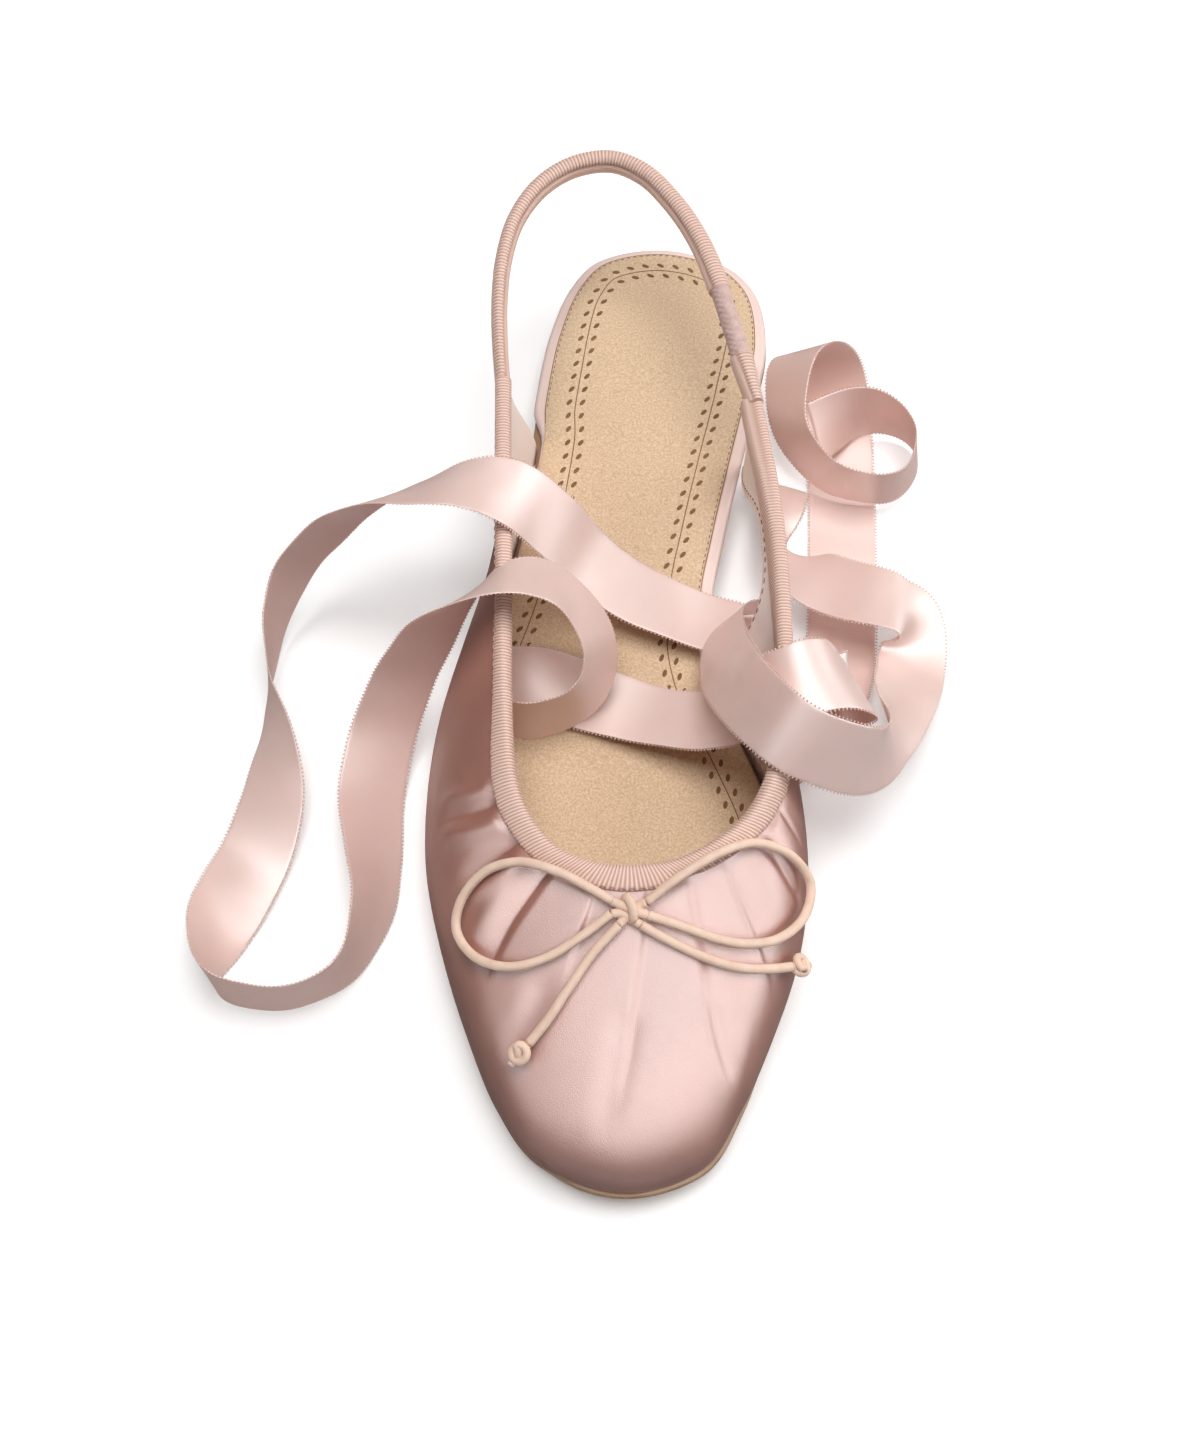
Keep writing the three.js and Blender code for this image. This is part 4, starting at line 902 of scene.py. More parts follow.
def inset_plan(inset):
    along = unit(np.roll(plan, -1, axis=0) - np.roll(plan, 1, axis=0))
    inward = np.stack([along[:, 1], -along[:, 0]], axis=1)
    amount = np.array([inset("lateral" if x < -2 else "medial", y) for x, y in plan])
    return plan + inward * amount[:, None]


def smooth_step(low, high, at):
    t = np.clip((at - low) / (high - low), 0, 1)
    return t * t * (3 - 2 * t)


print("plan drawn:", len(plan), "points")

# %% [markdown]
# Sole, board and sock are slabs cut to the same plan. A slab could be a flat outline pushed up, but
# these follow the toe spring and the arch. So each level of a slab is the plan drawn in by some
# amount at some height, and the slab is lofted through its levels. Stations lie closer together at
# toe and heel, where the outline turns.

# %% Slabs with the shoe's plan
SLAB_ROWS = 150
INNER_SHARES = np.linspace(0, 1, 9)[1:-1]


def plan_sides(points):
    toe, heel = np.argmin(points[:, 1]), np.argmax(points[:, 1])
    walk = np.roll(points, -toe, axis=0)
    turn = (heel - toe) % len(points)
    return walk[: turn + 1], np.vstack([walk[:1], walk[turn:][::-1]])


def slab(name, levels, finish, front=None):
    share = np.linspace(0, 1, SLAB_ROWS)
    spread = np.sin(share * np.pi / 2) if front is not None else (1 - np.cos(share * np.pi)) / 2
    left, right = [], []
    for inset, height in levels:
        lateral, medial = plan_sides(inset_plan(inset))
        first = lateral[0, 1] if front is None else front
        y = first + (lateral[-1, 1] - first) * spread
        for edge, side in ((lateral, left), (medial, right)):
            order = np.argsort(edge[:, 1], kind="stable")
            x = np.interp(y, edge[order, 1], edge[order, 0])
            side.append(np.stack([x, y, height(y)], axis=1))
    top = [left[-1] * (1 - t) + right[-1] * t for t in INNER_SHARES]
    base = [right[0] * (1 - t) + left[0] * t for t in INNER_SHARES]
    return loft(name, np.stack([*left, *top, *right[::-1], *base], axis=1), [finish])


print("slabs have", SLAB_ROWS, "stations from toe to heel")

# %% [markdown]
# The outsole is a thin tan leather sole. Its edge shows under the toe, and further back it is
# tucked a little under the upper. The heel is a low stacked lift with one groove between its two
# layers. Both are slabs with a trimmed edge, given as pairs: how far the edge is drawn in, and how
# high.

# %% Outsole and heel
leather = new_finish("tan_sole_leather")
place = drifting_colour(leather, (0.33, 0.19, 0.11), (0.46, 0.28, 0.165), 6, 6.0)
grain = wire(leather.node_tree, "ShaderNodeTexVoronoi", {"Vector": place, "Scale": 1400})
fine_relief(leather, grain["Distance"], 0.1, 0.4)
gloss(leather, 0.55, 0.4)
EDGE_TUCK = 0.8
TUCK_FROM = {"lateral": (-123.5, -119), "medial": (-112, -92)}
TUCK_UNTIL = (70, 90)
OUTSOLE_EDGE = [(1.2, 0.0), (0.4, 0.3), (0.0, 1.0), (0.0, OUTSOLE_THICK - 0.5), (0.3, OUTSOLE_THICK)]
HEEL_EDGE = [(2.2, 0.0), (1.5, 0.7), (1.2, 2.6), (1.6, 2.8), (1.2, 3.0)]
HEEL_SEAT_INSET = 0.9
HEEL_BREAST = 58


def tucked(extra):
    def inset(side, y):
        return extra + EDGE_TUCK * smooth_step(*TUCK_FROM[side], y) * (1 - smooth_step(*TUCK_UNTIL, y))
    return inset


outsole_levels = [(tucked(extra), lambda y, r=rise: sole_under(y) + r) for extra, rise in OUTSOLE_EDGE]
dress(slab("outsole_leather", outsole_levels, leather), "sole_leather", "outsole")
heel_levels = [(lambda s, y, e=extra: e, lambda y, r=rise: y * 0 + r) for extra, rise in HEEL_EDGE]
heel_levels.append((lambda s, y: HEEL_SEAT_INSET, lambda y: sole_under(y) - MEET_GAP))
dress(slab("heel_lift", heel_levels, leather, front=HEEL_BREAST), "sole_leather", "heel")

# %% [markdown]
# The insole board is wrapped in satin, which shows as a rim round the heel and along the arch,
# where the upper does not cover it. On it lies the sock, a tan suede-like lining with a mottled
# grain. Both are drawn in where the upper stands on the sole, and step out behind it.

# %% Board and sock
UPPER_INSET = 0.8
WALL = 1.6
RIM_WIDTH = 3.0
RIM_INSET = 0.2
BOARD_PLAY = 0.9
SOCK_PLAY = 0.8
FRONT_INSET = UPPER_INSET + WALL + BOARD_PLAY
STEPS_OUT = {"lateral": (62, 72), "medial": (6, 16)}
ROLLED_EDGE = [(0.8, 0.0), (0.25, 0.3), (0.0, 1.0), (0.05, 1.7), (0.25, 2.3), (0.6, 2.75)]
ROLLED_EDGE.append((1.2, BOARD_THICK))
SOCK_EDGE = [(0.0, 0.0), (0.0, SOCK_THICK - 0.3), (0.3, SOCK_THICK)]


def stepped(front, back):
    def inset(side, y):
        t = smooth_step(*STEPS_OUT[side], y)
        return front * (1 - t) + back * t
    return inset


def board_inset(extra):
    return stepped(FRONT_INSET + extra, RIM_INSET + extra)


def sock_inset(extra):
    return stepped(FRONT_INSET + SOCK_PLAY + extra, RIM_INSET + RIM_WIDTH + extra)


def board_at(level):
    return lambda y: sole_top(y) + MEET_GAP + level


board_levels = [(board_inset(extra), board_at(rise)) for extra, rise in ROLLED_EDGE]
dress(slab("insole_board_satin", board_levels, rim_satin), "satin", "insole_board")
sock_low = BOARD_THICK + MEET_GAP
sock_high = sock_low + SOCK_THICK
suede = new_finish("tan_sock_suede")
place = drifting_colour(suede, (0.55, 0.38, 0.23), (0.78, 0.585, 0.41), 0.5, 10.0)
nap = wire(suede.node_tree, "ShaderNodeTexNoise", {"Vector": place, "Scale": 1500, "Detail": 2})
fine_relief(suede, nap["Fac"], 0.05, 0.4)
gloss(suede, 0.85, 0.2, 0.2, (0.9, 0.75, 0.55))
sock_levels = [(sock_inset(extra), board_at(sock_low + rise)) for extra, rise in SOCK_EDGE]
dress(slab("insole_sock", sock_levels, suede), "sock", "insole")

# %% [markdown]
# A thin brown line is printed round the sock. It could be painted in the sock's finish, but a path
# is easier to place and to bend round the heel. A second small tree makes a fine tube along a path,
# which is half sunk in the sock so that only a thin stroke shows.

# %% Node tree for a line along a path
def line_tree():
    tree = new_tree("line_along_a_path", ("Radius",), "Line")
    given = wire(tree, "NodeGroupInput", {})
    curve = wire(tree, "GeometryNodeMeshToCurve", {"Mesh": given["Path"]})
    ring = wire(tree, "GeometryNodeCurvePrimitiveCircle", {"Resolution": 6, "Radius": given["Radius"]})
    sweep = {"Curve": curve["Curve"], "Profile Curve": ring["Curve"], "Fill Caps": True}
    skin = wire(tree, "GeometryNodeCurveToMesh", sweep)
    real = wire(tree, "GeometryNodeRealizeInstances", {"Geometry": skin["Mesh"]})
    dyed = wire(tree, "GeometryNodeSetMaterial", {"Geometry": real["Geometry"], "Material": given["Finish"]})
    wire(tree, "NodeGroupOutput", {"Line": dyed["Geometry"]})
    return tree


LINE = line_tree()


def line(name, path, finish, radius):
    return grown(name, LINE, [path], {"Radius": radius * MM, "Finish": finish})


print("tree for lines:", len(LINE.nodes), "nodes")

# %% [markdown]
# The printed line has a slanted leaf mark at every step on either side of it. The marks are printed
# flat, so they are thin flat ovals half sunk in the sock. A dark line shows the cut edge of the
# sock, and a brown thread sews it to the wrapped rim just inside that edge.

# %% Marks on the sock and stitches on the rim
ink = cloth(
    "brown_ink", (0.17, 0.085, 0.035), (0.25, 0.13, 0.06),
    rough=0.8, specular=0.2, thread_mm=0.4, relief_mm=0.02,
)
dark_thread = cloth(
    "rose_brown_thread", (0.26, 0.125, 0.085), (0.34, 0.17, 0.12),
    rough=0.6, specular=0.3, thread_mm=0.3, relief_mm=0.04,
)
PRINT_FROM = (-66, -66)
PRINT_IN = 7.6
PRINT_SINK = 0.08
PRINT_RADIUS = 0.17
HEEL_OUT = 2.0
HEEL_TURN = (84, 118)
LEAF_OFF = 1.65
LEAF_PITCH = 4.0
LEAF_SIZE = (2.1, 1.05, 0.12)
LEAF_SLANT = math.radians(-30)
EDGE_FROM = (66, 10)
EDGE_IN = 0.1
EDGE_SINK = 0.2
EDGE_RADIUS = 0.12
RIM_FROM = (71, 15)
RIM_STITCH_IN = 0.55
RIM_PITCH = 1.7
RIM_STITCH = (1.0, 0.32, 0.2)


def round_the_heel(inset, level, lateral_from, medial_from):
    points = inset_plan(inset)
    lateral = np.arange(PLAN_STEPS) <= np.argmax(points[:, 1])
    points = points[points[:, 1] >= np.where(lateral, lateral_from, medial_from)]
    return evenly(np.column_stack([points, board_at(level)(points[:, 1])]), 1.0)


def print_inset(extra):
    plain = sock_inset(PRINT_IN + extra)
    return lambda side, y: plain(side, y) - HEEL_OUT * smooth_step(*HEEL_TURN, y)


leaf_rows = [round_the_heel(print_inset(off), sock_high, *PRINT_FROM) for off in (-LEAF_OFF, LEAF_OFF)]
dress(marks("sock_leaf_marks", leaf_rows, ink, LEAF_PITCH, LEAF_SIZE, slant=LEAF_SLANT), "sock")
print_path = round_the_heel(print_inset(0), sock_high - PRINT_SINK, *PRINT_FROM)
dress(line("sock_printed_line", print_path, ink, PRINT_RADIUS), "sock")
edge_path = round_the_heel(sock_inset(EDGE_IN), sock_high - EDGE_SINK, *EDGE_FROM)
dress(line("sock_edge_line", edge_path, ink, EDGE_RADIUS), "sock")
rim_path = round_the_heel(sock_inset(RIM_STITCH_IN), sock_high, *RIM_FROM)
dress(marks("rim_stitches", [rim_path], dark_thread, RIM_PITCH, RIM_STITCH), "sock")

# %% [markdown]
# The upper is one piece of satin pulled over the last and gathered under the collar tape. Its form
# is a fan of ribs, each a curve from the sole edge up to the collar. The row of a rib says where it
# stands, where its top is, how it leaves the sole, how it meets the collar and how much of it the
# opening on the arch side cuts away.

# %% Ribs of the upper
RIBS = [
    ("lateral", 61, 0, -36.2, 55, 47.5, 0.6, 11, -0.4, 12, 0),
    ("lateral", 32, 0, -34.8, 29, 45.0, 1.6, 12, 0.6, 12, 0),
    ("lateral", 2, 0, -33.0, 2, 42.0, 2.6, 15, 5, 11, 0),
    ("lateral", -28, 0, -31.6, -23, 39.5, 3.0, 18, 10, 8, 0),
    ("lateral", -58, 0, -28.8, -44.5, 38.2, 2.8, 18, 14, 6, 0),
    ("lateral", -88, 0, -21.8, -56.6, 37.6, 2.0, 18, 20, 7, 0),
    ("lateral", -112, 0, -12.8, -61.4, 37.2, 1.2, 17, 28, 9, 0),
    ("toe", -124, 0, -3.6, -62.6, 37.0, 0.7, 16, 33, 10.5, 0),
    ("medial", -112, 0, 5.8, -60.8, 37.2, 1.2, 17, 28, 9, 0),
    ("medial", -90, 0, 15.0, -56.0, 37.6, 2.0, 18, 19, 7, 0),
    ("medial", -64, 0, 23.0, -48, 38.0, 2.6, 18, 11, 7, 0),
    ("medial", -40, 0, 27.8, -36, 39.0, 2.6, 15, 6, 10, 0),
    ("medial", -18, 0, 29.4, -17, 40.6, 2.0, 12, 1, 12, 0),
    ("medial", -5, 0, 29.2, -5, 41.8, 1.6, 11, -1, 12, 0),
    ("medial", 4, 0.8, 28.6, 6, 43.0, 1.4, 10, -2, 12, 0.66),
    ("medial", 16, 1.5, 27.5, 18.5, 44.5, 1.2, 10, -2, 12, 0.8),
    ("medial", 30, 2.2, 25.9, 30.5, 46.0, 1.0, 10, -1, 12, 0.7),
    ("medial", 44, 2.7, 24.0, 41.5, 47.1, 0.8, 10, 0, 12, 0.4),
    ("medial", 57, 2.7, 22.3, 50.5, 48.1, 0.6, 10, 0, 12, 0.04),
]
RIB_KEYS = ("foot", "out", "x", "y", "z", "bulge", "rise", "reach", "drop", "cut")
NEARBY = 0.002
rib_table = np.array([row[1:] for row in RIBS], float)
stand_line = inset_plan(lambda s, y: UPPER_INSET)


def stand_step(row):
    if row[0] == "toe":
        return 0
    half = PLAN_STEPS // 2
    lateral = row[0] == "lateral"
    order = np.arange(half + 1) if lateral else np.arange(half + 1, PLAN_STEPS)
    best = order[np.argmin(np.abs(stand_line[order, 1] - row[1]))]
    return -best if lateral else PLAN_STEPS - best


stand_steps = np.array([stand_step(row) for row in RIBS], float)


def stand_at(step):
    s = np.mod(-step, PLAN_STEPS)
    i = np.floor(s).astype(int) % PLAN_STEPS
    leg = stand_line[(i + 1) % PLAN_STEPS] - stand_line[i]
    return stand_line[i] + leg * (s - np.floor(s))[..., None]


def upper_point(s, t):
    at = s * (len(RIBS) - 1)
    step = through(stand_steps, at)
    row = through(rib_table, at)
    get = {key: row[..., k] for k, key in enumerate(RIB_KEYS)}
    stand = stand_at(step)
    run = unit(stand_at(step + 1) - stand_at(step - 1))
    outward = np.stack([run[..., 1], -run[..., 0], np.zeros_like(s)], axis=-1)
    foot = np.concatenate([stand, (sole_top(stand[..., 1]) + MEET_GAP)[..., None]], axis=-1)
    foot = foot + outward * (get["out"] - WALL / 2)[..., None]
    crest = np.stack([get["x"], get["y"], get["z"]], axis=-1)
    low = foot + outward * get["bulge"][..., None] + get["rise"][..., None] * np.array(UPWARDS)
    high = crest + outward * get["reach"][..., None] - get["drop"][..., None] * np.array(UPWARDS)
    u, t = (1 - t)[..., None], t[..., None]
    return foot * u**3 + low * 3 * u**2 * t + high * 3 * u * t**2 + crest * t**3


def upper_normal(s, t):
    ds = upper_point(np.minimum(s + NEARBY, 1), t) - upper_point(np.maximum(s - NEARBY, 0), t)
    dt = upper_point(s, np.minimum(t + NEARBY, 1)) - upper_point(s, np.maximum(t - NEARBY, 0))
    return unit(np.cross(ds, dt))


def rib_cut(s):
    return np.maximum(through(rib_table[:, RIB_KEYS.index("cut")], s * (len(RIBS) - 1)), 0)


print("ribs:", len(RIBS))

# %% [markdown]
# Gathered satin has a few strong pleats. A cloth simulation would put them wherever it likes, so
# they are drawn one by one on the vamp, from the collar outwards, where the photograph shows them.
# A pleat has up to three parts. At a step the cloth on one side laps over the other: its height,
# then its reach to the left and to the right. A dip is a furrow along the line: its depth and its
# two half widths. A roll is a soft ridge beside it: its height, how far off the line it lies and
# how wide it is. All fade out along the line.

# %% Pleats
PLEATS = [
    {"line": [(0, -64, 37), (0, -74.5, 34), (-1, -83.5, 32), (-2.2, -94, 29), (-3.5, -104, 26),
              (-5, -114, 21.5)],
     "step": (-0.7, 12.0, 5.0), "edge": 0.6},
    {"line": [(8.6, -60, 37.5), (10.8, -70.5, 34.3), (12.3, -78.6, 32), (14, -89.4, 28.8), (16, -97, 26),
              (18.5, -103, 22.5), (21, -108, 17.5)],
     "step": (-1.2, 9.0, 3.5), "edge": 0.95},
    {"line": [(15.4, -57, 37.5), (20.7, -68, 33.2), (23.2, -73, 31), (26.4, -80.3, 26.6), (28.5, -86, 22)],
     "step": (-1.1, 7.0, 3.0), "edge": 0.95},
    {"line": [(26, -45, 37.5), (31.6, -50.3, 31.4), (34.4, -53.4, 25.6)],
     "dip": (0.4, 0.8, 0.8), "rolls": [(0.4, -4.5, 4.0), (0.3, 4.5, 4.0)]},
    {"line": [(24, -53, 36.5), (30.5, -60.4, 30), (34.2, -64.7, 22.5)],
     "dip": (0.7, 1.2, 1.2), "rolls": [(0.5, -5.0, 4.0), (0.5, 5.0, 4.0)]},
    {"line": [(-9, -62.5, 37.2), (-11.4, -70.3, 35.3), (-13.1, -75, 33.8), (-15, -81, 32),
              (-17, -88, 30)],
     "step": (-0.5, 9.0, 4.5)},
    {"line": [(-18, -60, 37.3), (-24.2, -68.5, 34), (-27.6, -73.4, 32), (-30.5, -79, 29.5),
              (-32.5, -85, 26)],
     "step": (0.8, 3.5, 8.0), "dip": (0.8, 3.2, 1.0), "rolls": [(0.9, -6.2, 2.8)]},
    {"line": [(-24.5, -55.5, 37.3), (-32, -60, 34), (-36.6, -63, 31.5), (-41, -65.5, 27)],
     "dip": (1.1, 3.4, 1.2), "rolls": [(1.0, 3.4, 2.2)]},
    {"line": [(-28.5, -47.5, 38), (-36.5, -49.2, 34), (-42, -48.8, 29.5), (-46, -48.6, 24.5)],
     "dip": (1.0, 2.6, 1.2), "rolls": [(0.8, -4.6, 2.2), (1.2, 3.8, 2.6)]},
    {"line": [(-3.4, -94, 29), (-4.6, -102, 26.5), (-6, -109, 24), (-7.4, -117, 19)],
     "dip": (0.55, 3.0, 3.0)},
    {"line": [(15.2, -90, 28.5), (17.4, -97, 25.7), (20, -103, 21.5)],
     "dip": (0.35, 1.8, 1.8), "rolls": [(0.15, 5.0, 4.0)]},
    {"line": [(-21, -88, 30), (-24.5, -95, 27.6), (-27.5, -102, 23.5)],
     "dip": (0.7, 3.5, 3.5)},
]
LINE_POINTS = 30
LAP_EDGE = 0.35
FADE_OUT = (0.6, 1.0)
NO_FOLD = (0, 1, 1)


def pleat_height(spots, normals, pleat):
    route = smooth_curve(pleat["line"], LINE_POINTS)
    best = np.full(len(spots), np.inf)
    side = np.zeros(len(spots))
    place = np.zeros(len(spots))
    for k in range(len(route) - 1):
        leg = route[k + 1] - route[k]
        t = np.clip((spots - route[k]) @ leg / (leg @ leg), 0, 1)
        off = spots - route[k] - t[:, None] * leg
        far = np.linalg.norm(off, axis=1)
        near = far < best
        best[near] = far[near]
        side[near] = np.sum(off * np.cross(normals, leg), axis=1)[near]
        place[near] = (k + t[near]) / (len(route) - 1)
    d = best * np.sign(side)
    step, left, right = pleat.get("step", NO_FOLD)
    over = 0.5 * (1 + np.tanh(d / pleat.get("edge", LAP_EDGE)))
    higher = over * np.exp(-np.maximum(d, 0) / right)
    lower = (1 - over) * np.exp(np.minimum(d, 0) / left)
    lift = step * 0.5 * (higher - lower)
    depth, left, right = pleat.get("dip", NO_FOLD)
    lift -= depth * np.exp(-((d / np.where(d < 0, left, right)) ** 2))
    for high, away, wide in pleat.get("rolls", []):
        lift += high * np.exp(-(((d - away) / wide) ** 2))
    return lift * (1 - smooth_step(*FADE_OUT, place))


print("pleats:", len(PLEATS))

# %% [markdown]
# The upper has two faces. The outer one is satin, with points close enough together to carry the
# pleats. The inner one is the paler lining, with far fewer points. The pleats fade out at the sole
# and under the collar tape, where the cloth is held flat. Both faces are lofted as one closed skin
# from rib to rib, and every face of the mesh is told which of the two finishes it has.

# %% Upper skin
COLUMNS = 880
OUTER_ROWS = 88
LINING_ROWS = 10
FOOT_HOLD = (0, 0.12)
TAPE_HOLD = (3.2, 6.4)


def upper_grid(rows, sign):
    s, share = np.meshgrid(np.linspace(0, 1, COLUMNS + 1), np.linspace(0, 1, rows + 1), indexing="ij")
    cut = rib_cut(s)
    t = cut + (1 - cut) * share
    middle = upper_point(s, t)
    normal = upper_normal(s, t)
    spots = middle + normal * sign * WALL / 2
    spots[:, 0, 2] = middle[:, 0, 2]
    return spots, normal


outer, outer_normal = upper_grid(OUTER_ROWS, 1)
flat_spots, flat_normal = outer.reshape(-1, 3), outer_normal.reshape(-1, 3)
height = sum(pleat_height(flat_spots, flat_normal, pleat) for pleat in PLEATS).reshape(outer.shape[:2])
legs = np.linalg.norm(np.diff(outer, axis=1), axis=2)
below_collar = np.zeros(outer.shape[:2])
below_collar[:, :-1] = np.cumsum(legs[:, ::-1], axis=1)[:, ::-1]
height *= smooth_step(*FOOT_HOLD, np.linspace(0, 1, OUTER_ROWS + 1)) * smooth_step(*TAPE_HOLD, below_collar)
pleated = outer + outer_normal * height[..., None]
inner = upper_grid(LINING_ROWS, -1)[0]
rings = np.concatenate([pleated, inner[:, ::-1]], axis=1)
sides = rings.shape[1]
face_side = np.tile(np.arange(sides), COLUMNS)
is_lining = ((face_side > OUTER_ROWS) & (face_side < sides - 1)).astype(int).tolist() + [0, 0]
dress(loft("upper_satin", rings, [satin, lining], is_lining), "satin", "upper")
print("pleat heights", height.min().round(2), height.max().round(2))

# %% [markdown]
# The collar and the strap are made of a ribbed tape. Its ribs stand across it, a little under a
# millimetre apart, and are real geometry here: six stations a rib, each lifted or sunk by a cosine.
# How far a point is sunk is stored as well, and the finish paints shade into the grooves from it.

# %% Ribbed tape finish
tape_finish = new_finish("ribbed_tape")
tree = tape_finish.node_tree
# painted shade: the stored sink picks the darker colour for the grooves and the lighter one for the ridges
groove_shade_colour = ramp(tree, stored(tape_finish, "rib"), (0.15, (0.52, 0.315, 0.25)), (0.8, (0.84, 0.605, 0.515)))
shade(tape_finish, {"Base Color": groove_shade_colour})
place = wire(tree, "ShaderNodeTexCoord", {})["Object"]
fibre = wire(tree, "ShaderNodeTexNoise", {"Vector": place, "Scale": 3500})
fine_relief(tape_finish, fibre["Fac"], 0.04, 0.4)
gloss(tape_finish, 0.55, 0.4, 0.25, (1.0, 0.82, 0.72))
COLLAR_PITCH = 0.74
STRAP_PITCH = 0.88
RIB_STATIONS = 6
RIB_HIGH = 0.19
FOLD_DEEP = 0.5


def ribbed(run, pitch):
    return 0.5 + 0.5 * np.cos(2 * np.pi * run / pitch)


print("ribs are", COLLAR_PITCH, "mm apart on the collar and", STRAP_PITCH, "mm on the strap")

# %% [markdown]
# The tape is folded over the collar, so that one flap shows outside and one inside. It is narrower
# along the little-toe side. Near the strap on the big-toe side the inner flap is fuller and lies
# smooth. Both flaps share one list, from the hem upwards: share of the depth, a cut off it, how far
# the face stands out, how strong the ribs are there and whether the fuller inner flap is smooth
# there.

# %% Collar tape
BINDING_DEPTH = 4.2
BINDING_FLAP = 0.7
BINDING_CREST = 1.4
NARROWER = 0.5
NARROW_FROM = (-50, -15)
FULLER = 1.3
FULLER_FROM = (12, 46)
SIDE_X = 10
JUST_BELOW = 0.01
NEAR = WALL / 2 + MEET_GAP
FAR = NEAR + BINDING_FLAP
FLAP = [
    (1.0, 0.0, -0.45, 0.5, 0),
    (1.0, 0.25, -0.1, 1.0, 0),
    (0.7, 0.0, 0.05, 1.0, 1),
    (0.4, 0.0, 0.15, 1.0, 1),
    (0.15, 0.0, 0.12, 1.0, 1),
]
collar_s = np.linspace(0, 1, 4001)
collar_run = run_along(upper_point(collar_s, np.ones_like(collar_s)))
stations = int(collar_run[-1] / COLLAR_PITCH * RIB_STATIONS)
even_run = np.linspace(0, collar_run[-1], stations + 1)
s = np.interp(even_run, collar_run, collar_s)
one = np.ones_like(s)
top = upper_point(s, one)
below = upper_point(s, one - JUST_BELOW)
speed = np.linalg.norm(top - below, axis=1) / JUST_BELOW
rising = unit(top - below)
facing = upper_normal(s, one)
ribs_along = ribbed(even_run, COLLAR_PITCH)
deep = BINDING_DEPTH * (1 - NARROWER * smooth_step(*NARROW_FROM, top[:, 1]) * (top[:, 0] < -SIDE_X))
fuller = smooth_step(*FULLER_FROM, top[:, 1]) * (top[:, 0] > SIDE_X)
calm = 1 - fuller
inner = FAR + FULLER * fuller


def on_flap(depth, off, sink=1.0):
    t = one - depth / speed
    lift = off + np.sign(off) * (ribs_along - 1) * RIB_HIGH * sink
    return upper_point(s, t) + upper_normal(s, t) * lift[:, None]


def over_crest(rise, off, sink=1.0):
    lift = rise + (ribs_along - 1) * RIB_HIGH * sink
    return top + rising * lift[:, None] + facing * (one * off)[:, None]


print("collar tape:", round(collar_run[-1], 1), "mm with", stations, "stations")

# %% [markdown]
# Each station of the tape is one ring: up the outer flap, over the crest, down the inner flap and
# back along the hidden side next to the satin. Shade is painted on the fold of the fuller flap where
# it turns in. Short rose stitches near the hem hold the tape on the satin.

# %% Rings of the collar tape
GROOVE_SHADE = 0.8
SMOOTH_SHADE = 0.5
SEAM_UP = 0.55
SEAM_OUT = 0.1
SEAM_PITCH = 2.1
SEAM_STITCH = (1.2, 0.3, 0.26)
outside = [on_flap(deep * share - less, FAR + out, sink) for share, less, out, sink, _ in FLAP]
inside = [
    on_flap(deep * share - less, -inner - out, sink * (1 - smooth * fuller))
    for share, less, out, sink, smooth in FLAP[::-1]
]
crest_out = [over_crest(0.6, FAR - 0.1), over_crest(1.1, FAR * 0.72), over_crest(BINDING_CREST, FAR * 0.3)]
crest_in = [
    over_crest(BINDING_CREST - FOLD_DEEP * fuller, -inner * (0.3 - 0.1 * fuller), calm),
    over_crest(1.1 + 0.2 * fuller, -inner * 0.68, calm),
    over_crest(0.6, 0.1 - inner, calm),
]
hidden = [on_flap(deep, -NEAR, 0), over_crest(MEET_GAP, -NEAR, 0), over_crest(MEET_GAP, NEAR, 0)]
hidden.append(on_flap(deep, NEAR, 0))
rings = np.stack(outside + crest_out + crest_in + inside + hidden, axis=1)
rib = np.repeat(ribs_along[:, None], rings.shape[1], axis=1)
first = len(outside + crest_out)
shown_inside = slice(first, -len(hidden))
rib[:, shown_inside] = rib[:, shown_inside] * calm[:, None] + SMOOTH_SHADE * fuller[:, None]
# painted shade on the fold where the fuller inner flap turns in
rib[:, first] *= 1 - GROOVE_SHADE * fuller
dress(loft("collar_tape", rings, [tape_finish], values={"rib": rib}), "grosgrain", "collar_binding")
rose_thread = cloth(
    "rose_thread", (0.50, 0.29, 0.23), (0.58, 0.35, 0.28),
    rough=0.6, specular=0.3, thread_mm=0.3, relief_mm=0.04,
)
seam = on_flap(deep - SEAM_UP, FAR + SEAM_OUT, 0)[::RIB_STATIONS]
seam_facing = upper_normal(s, one - (deep - SEAM_UP) / speed)[::RIB_STATIONS]
dress(marks("collar_stitches", [seam], rose_thread, SEAM_PITCH, SEAM_STITCH, [seam_facing]), "grosgrain")

# %% [markdown]
# The strap behind the heel is the same tape, folded into a soft oval roll. The fold is a groove
# with painted shade, which wanders slowly round the roll beside a plain strip of the tape. The roll
# could be swept by a curve's bevel, but the groove, the ribs and the growing thickness are easier
# to set ring by ring. Where it joins the collar it reaches a little under the collar's tape.

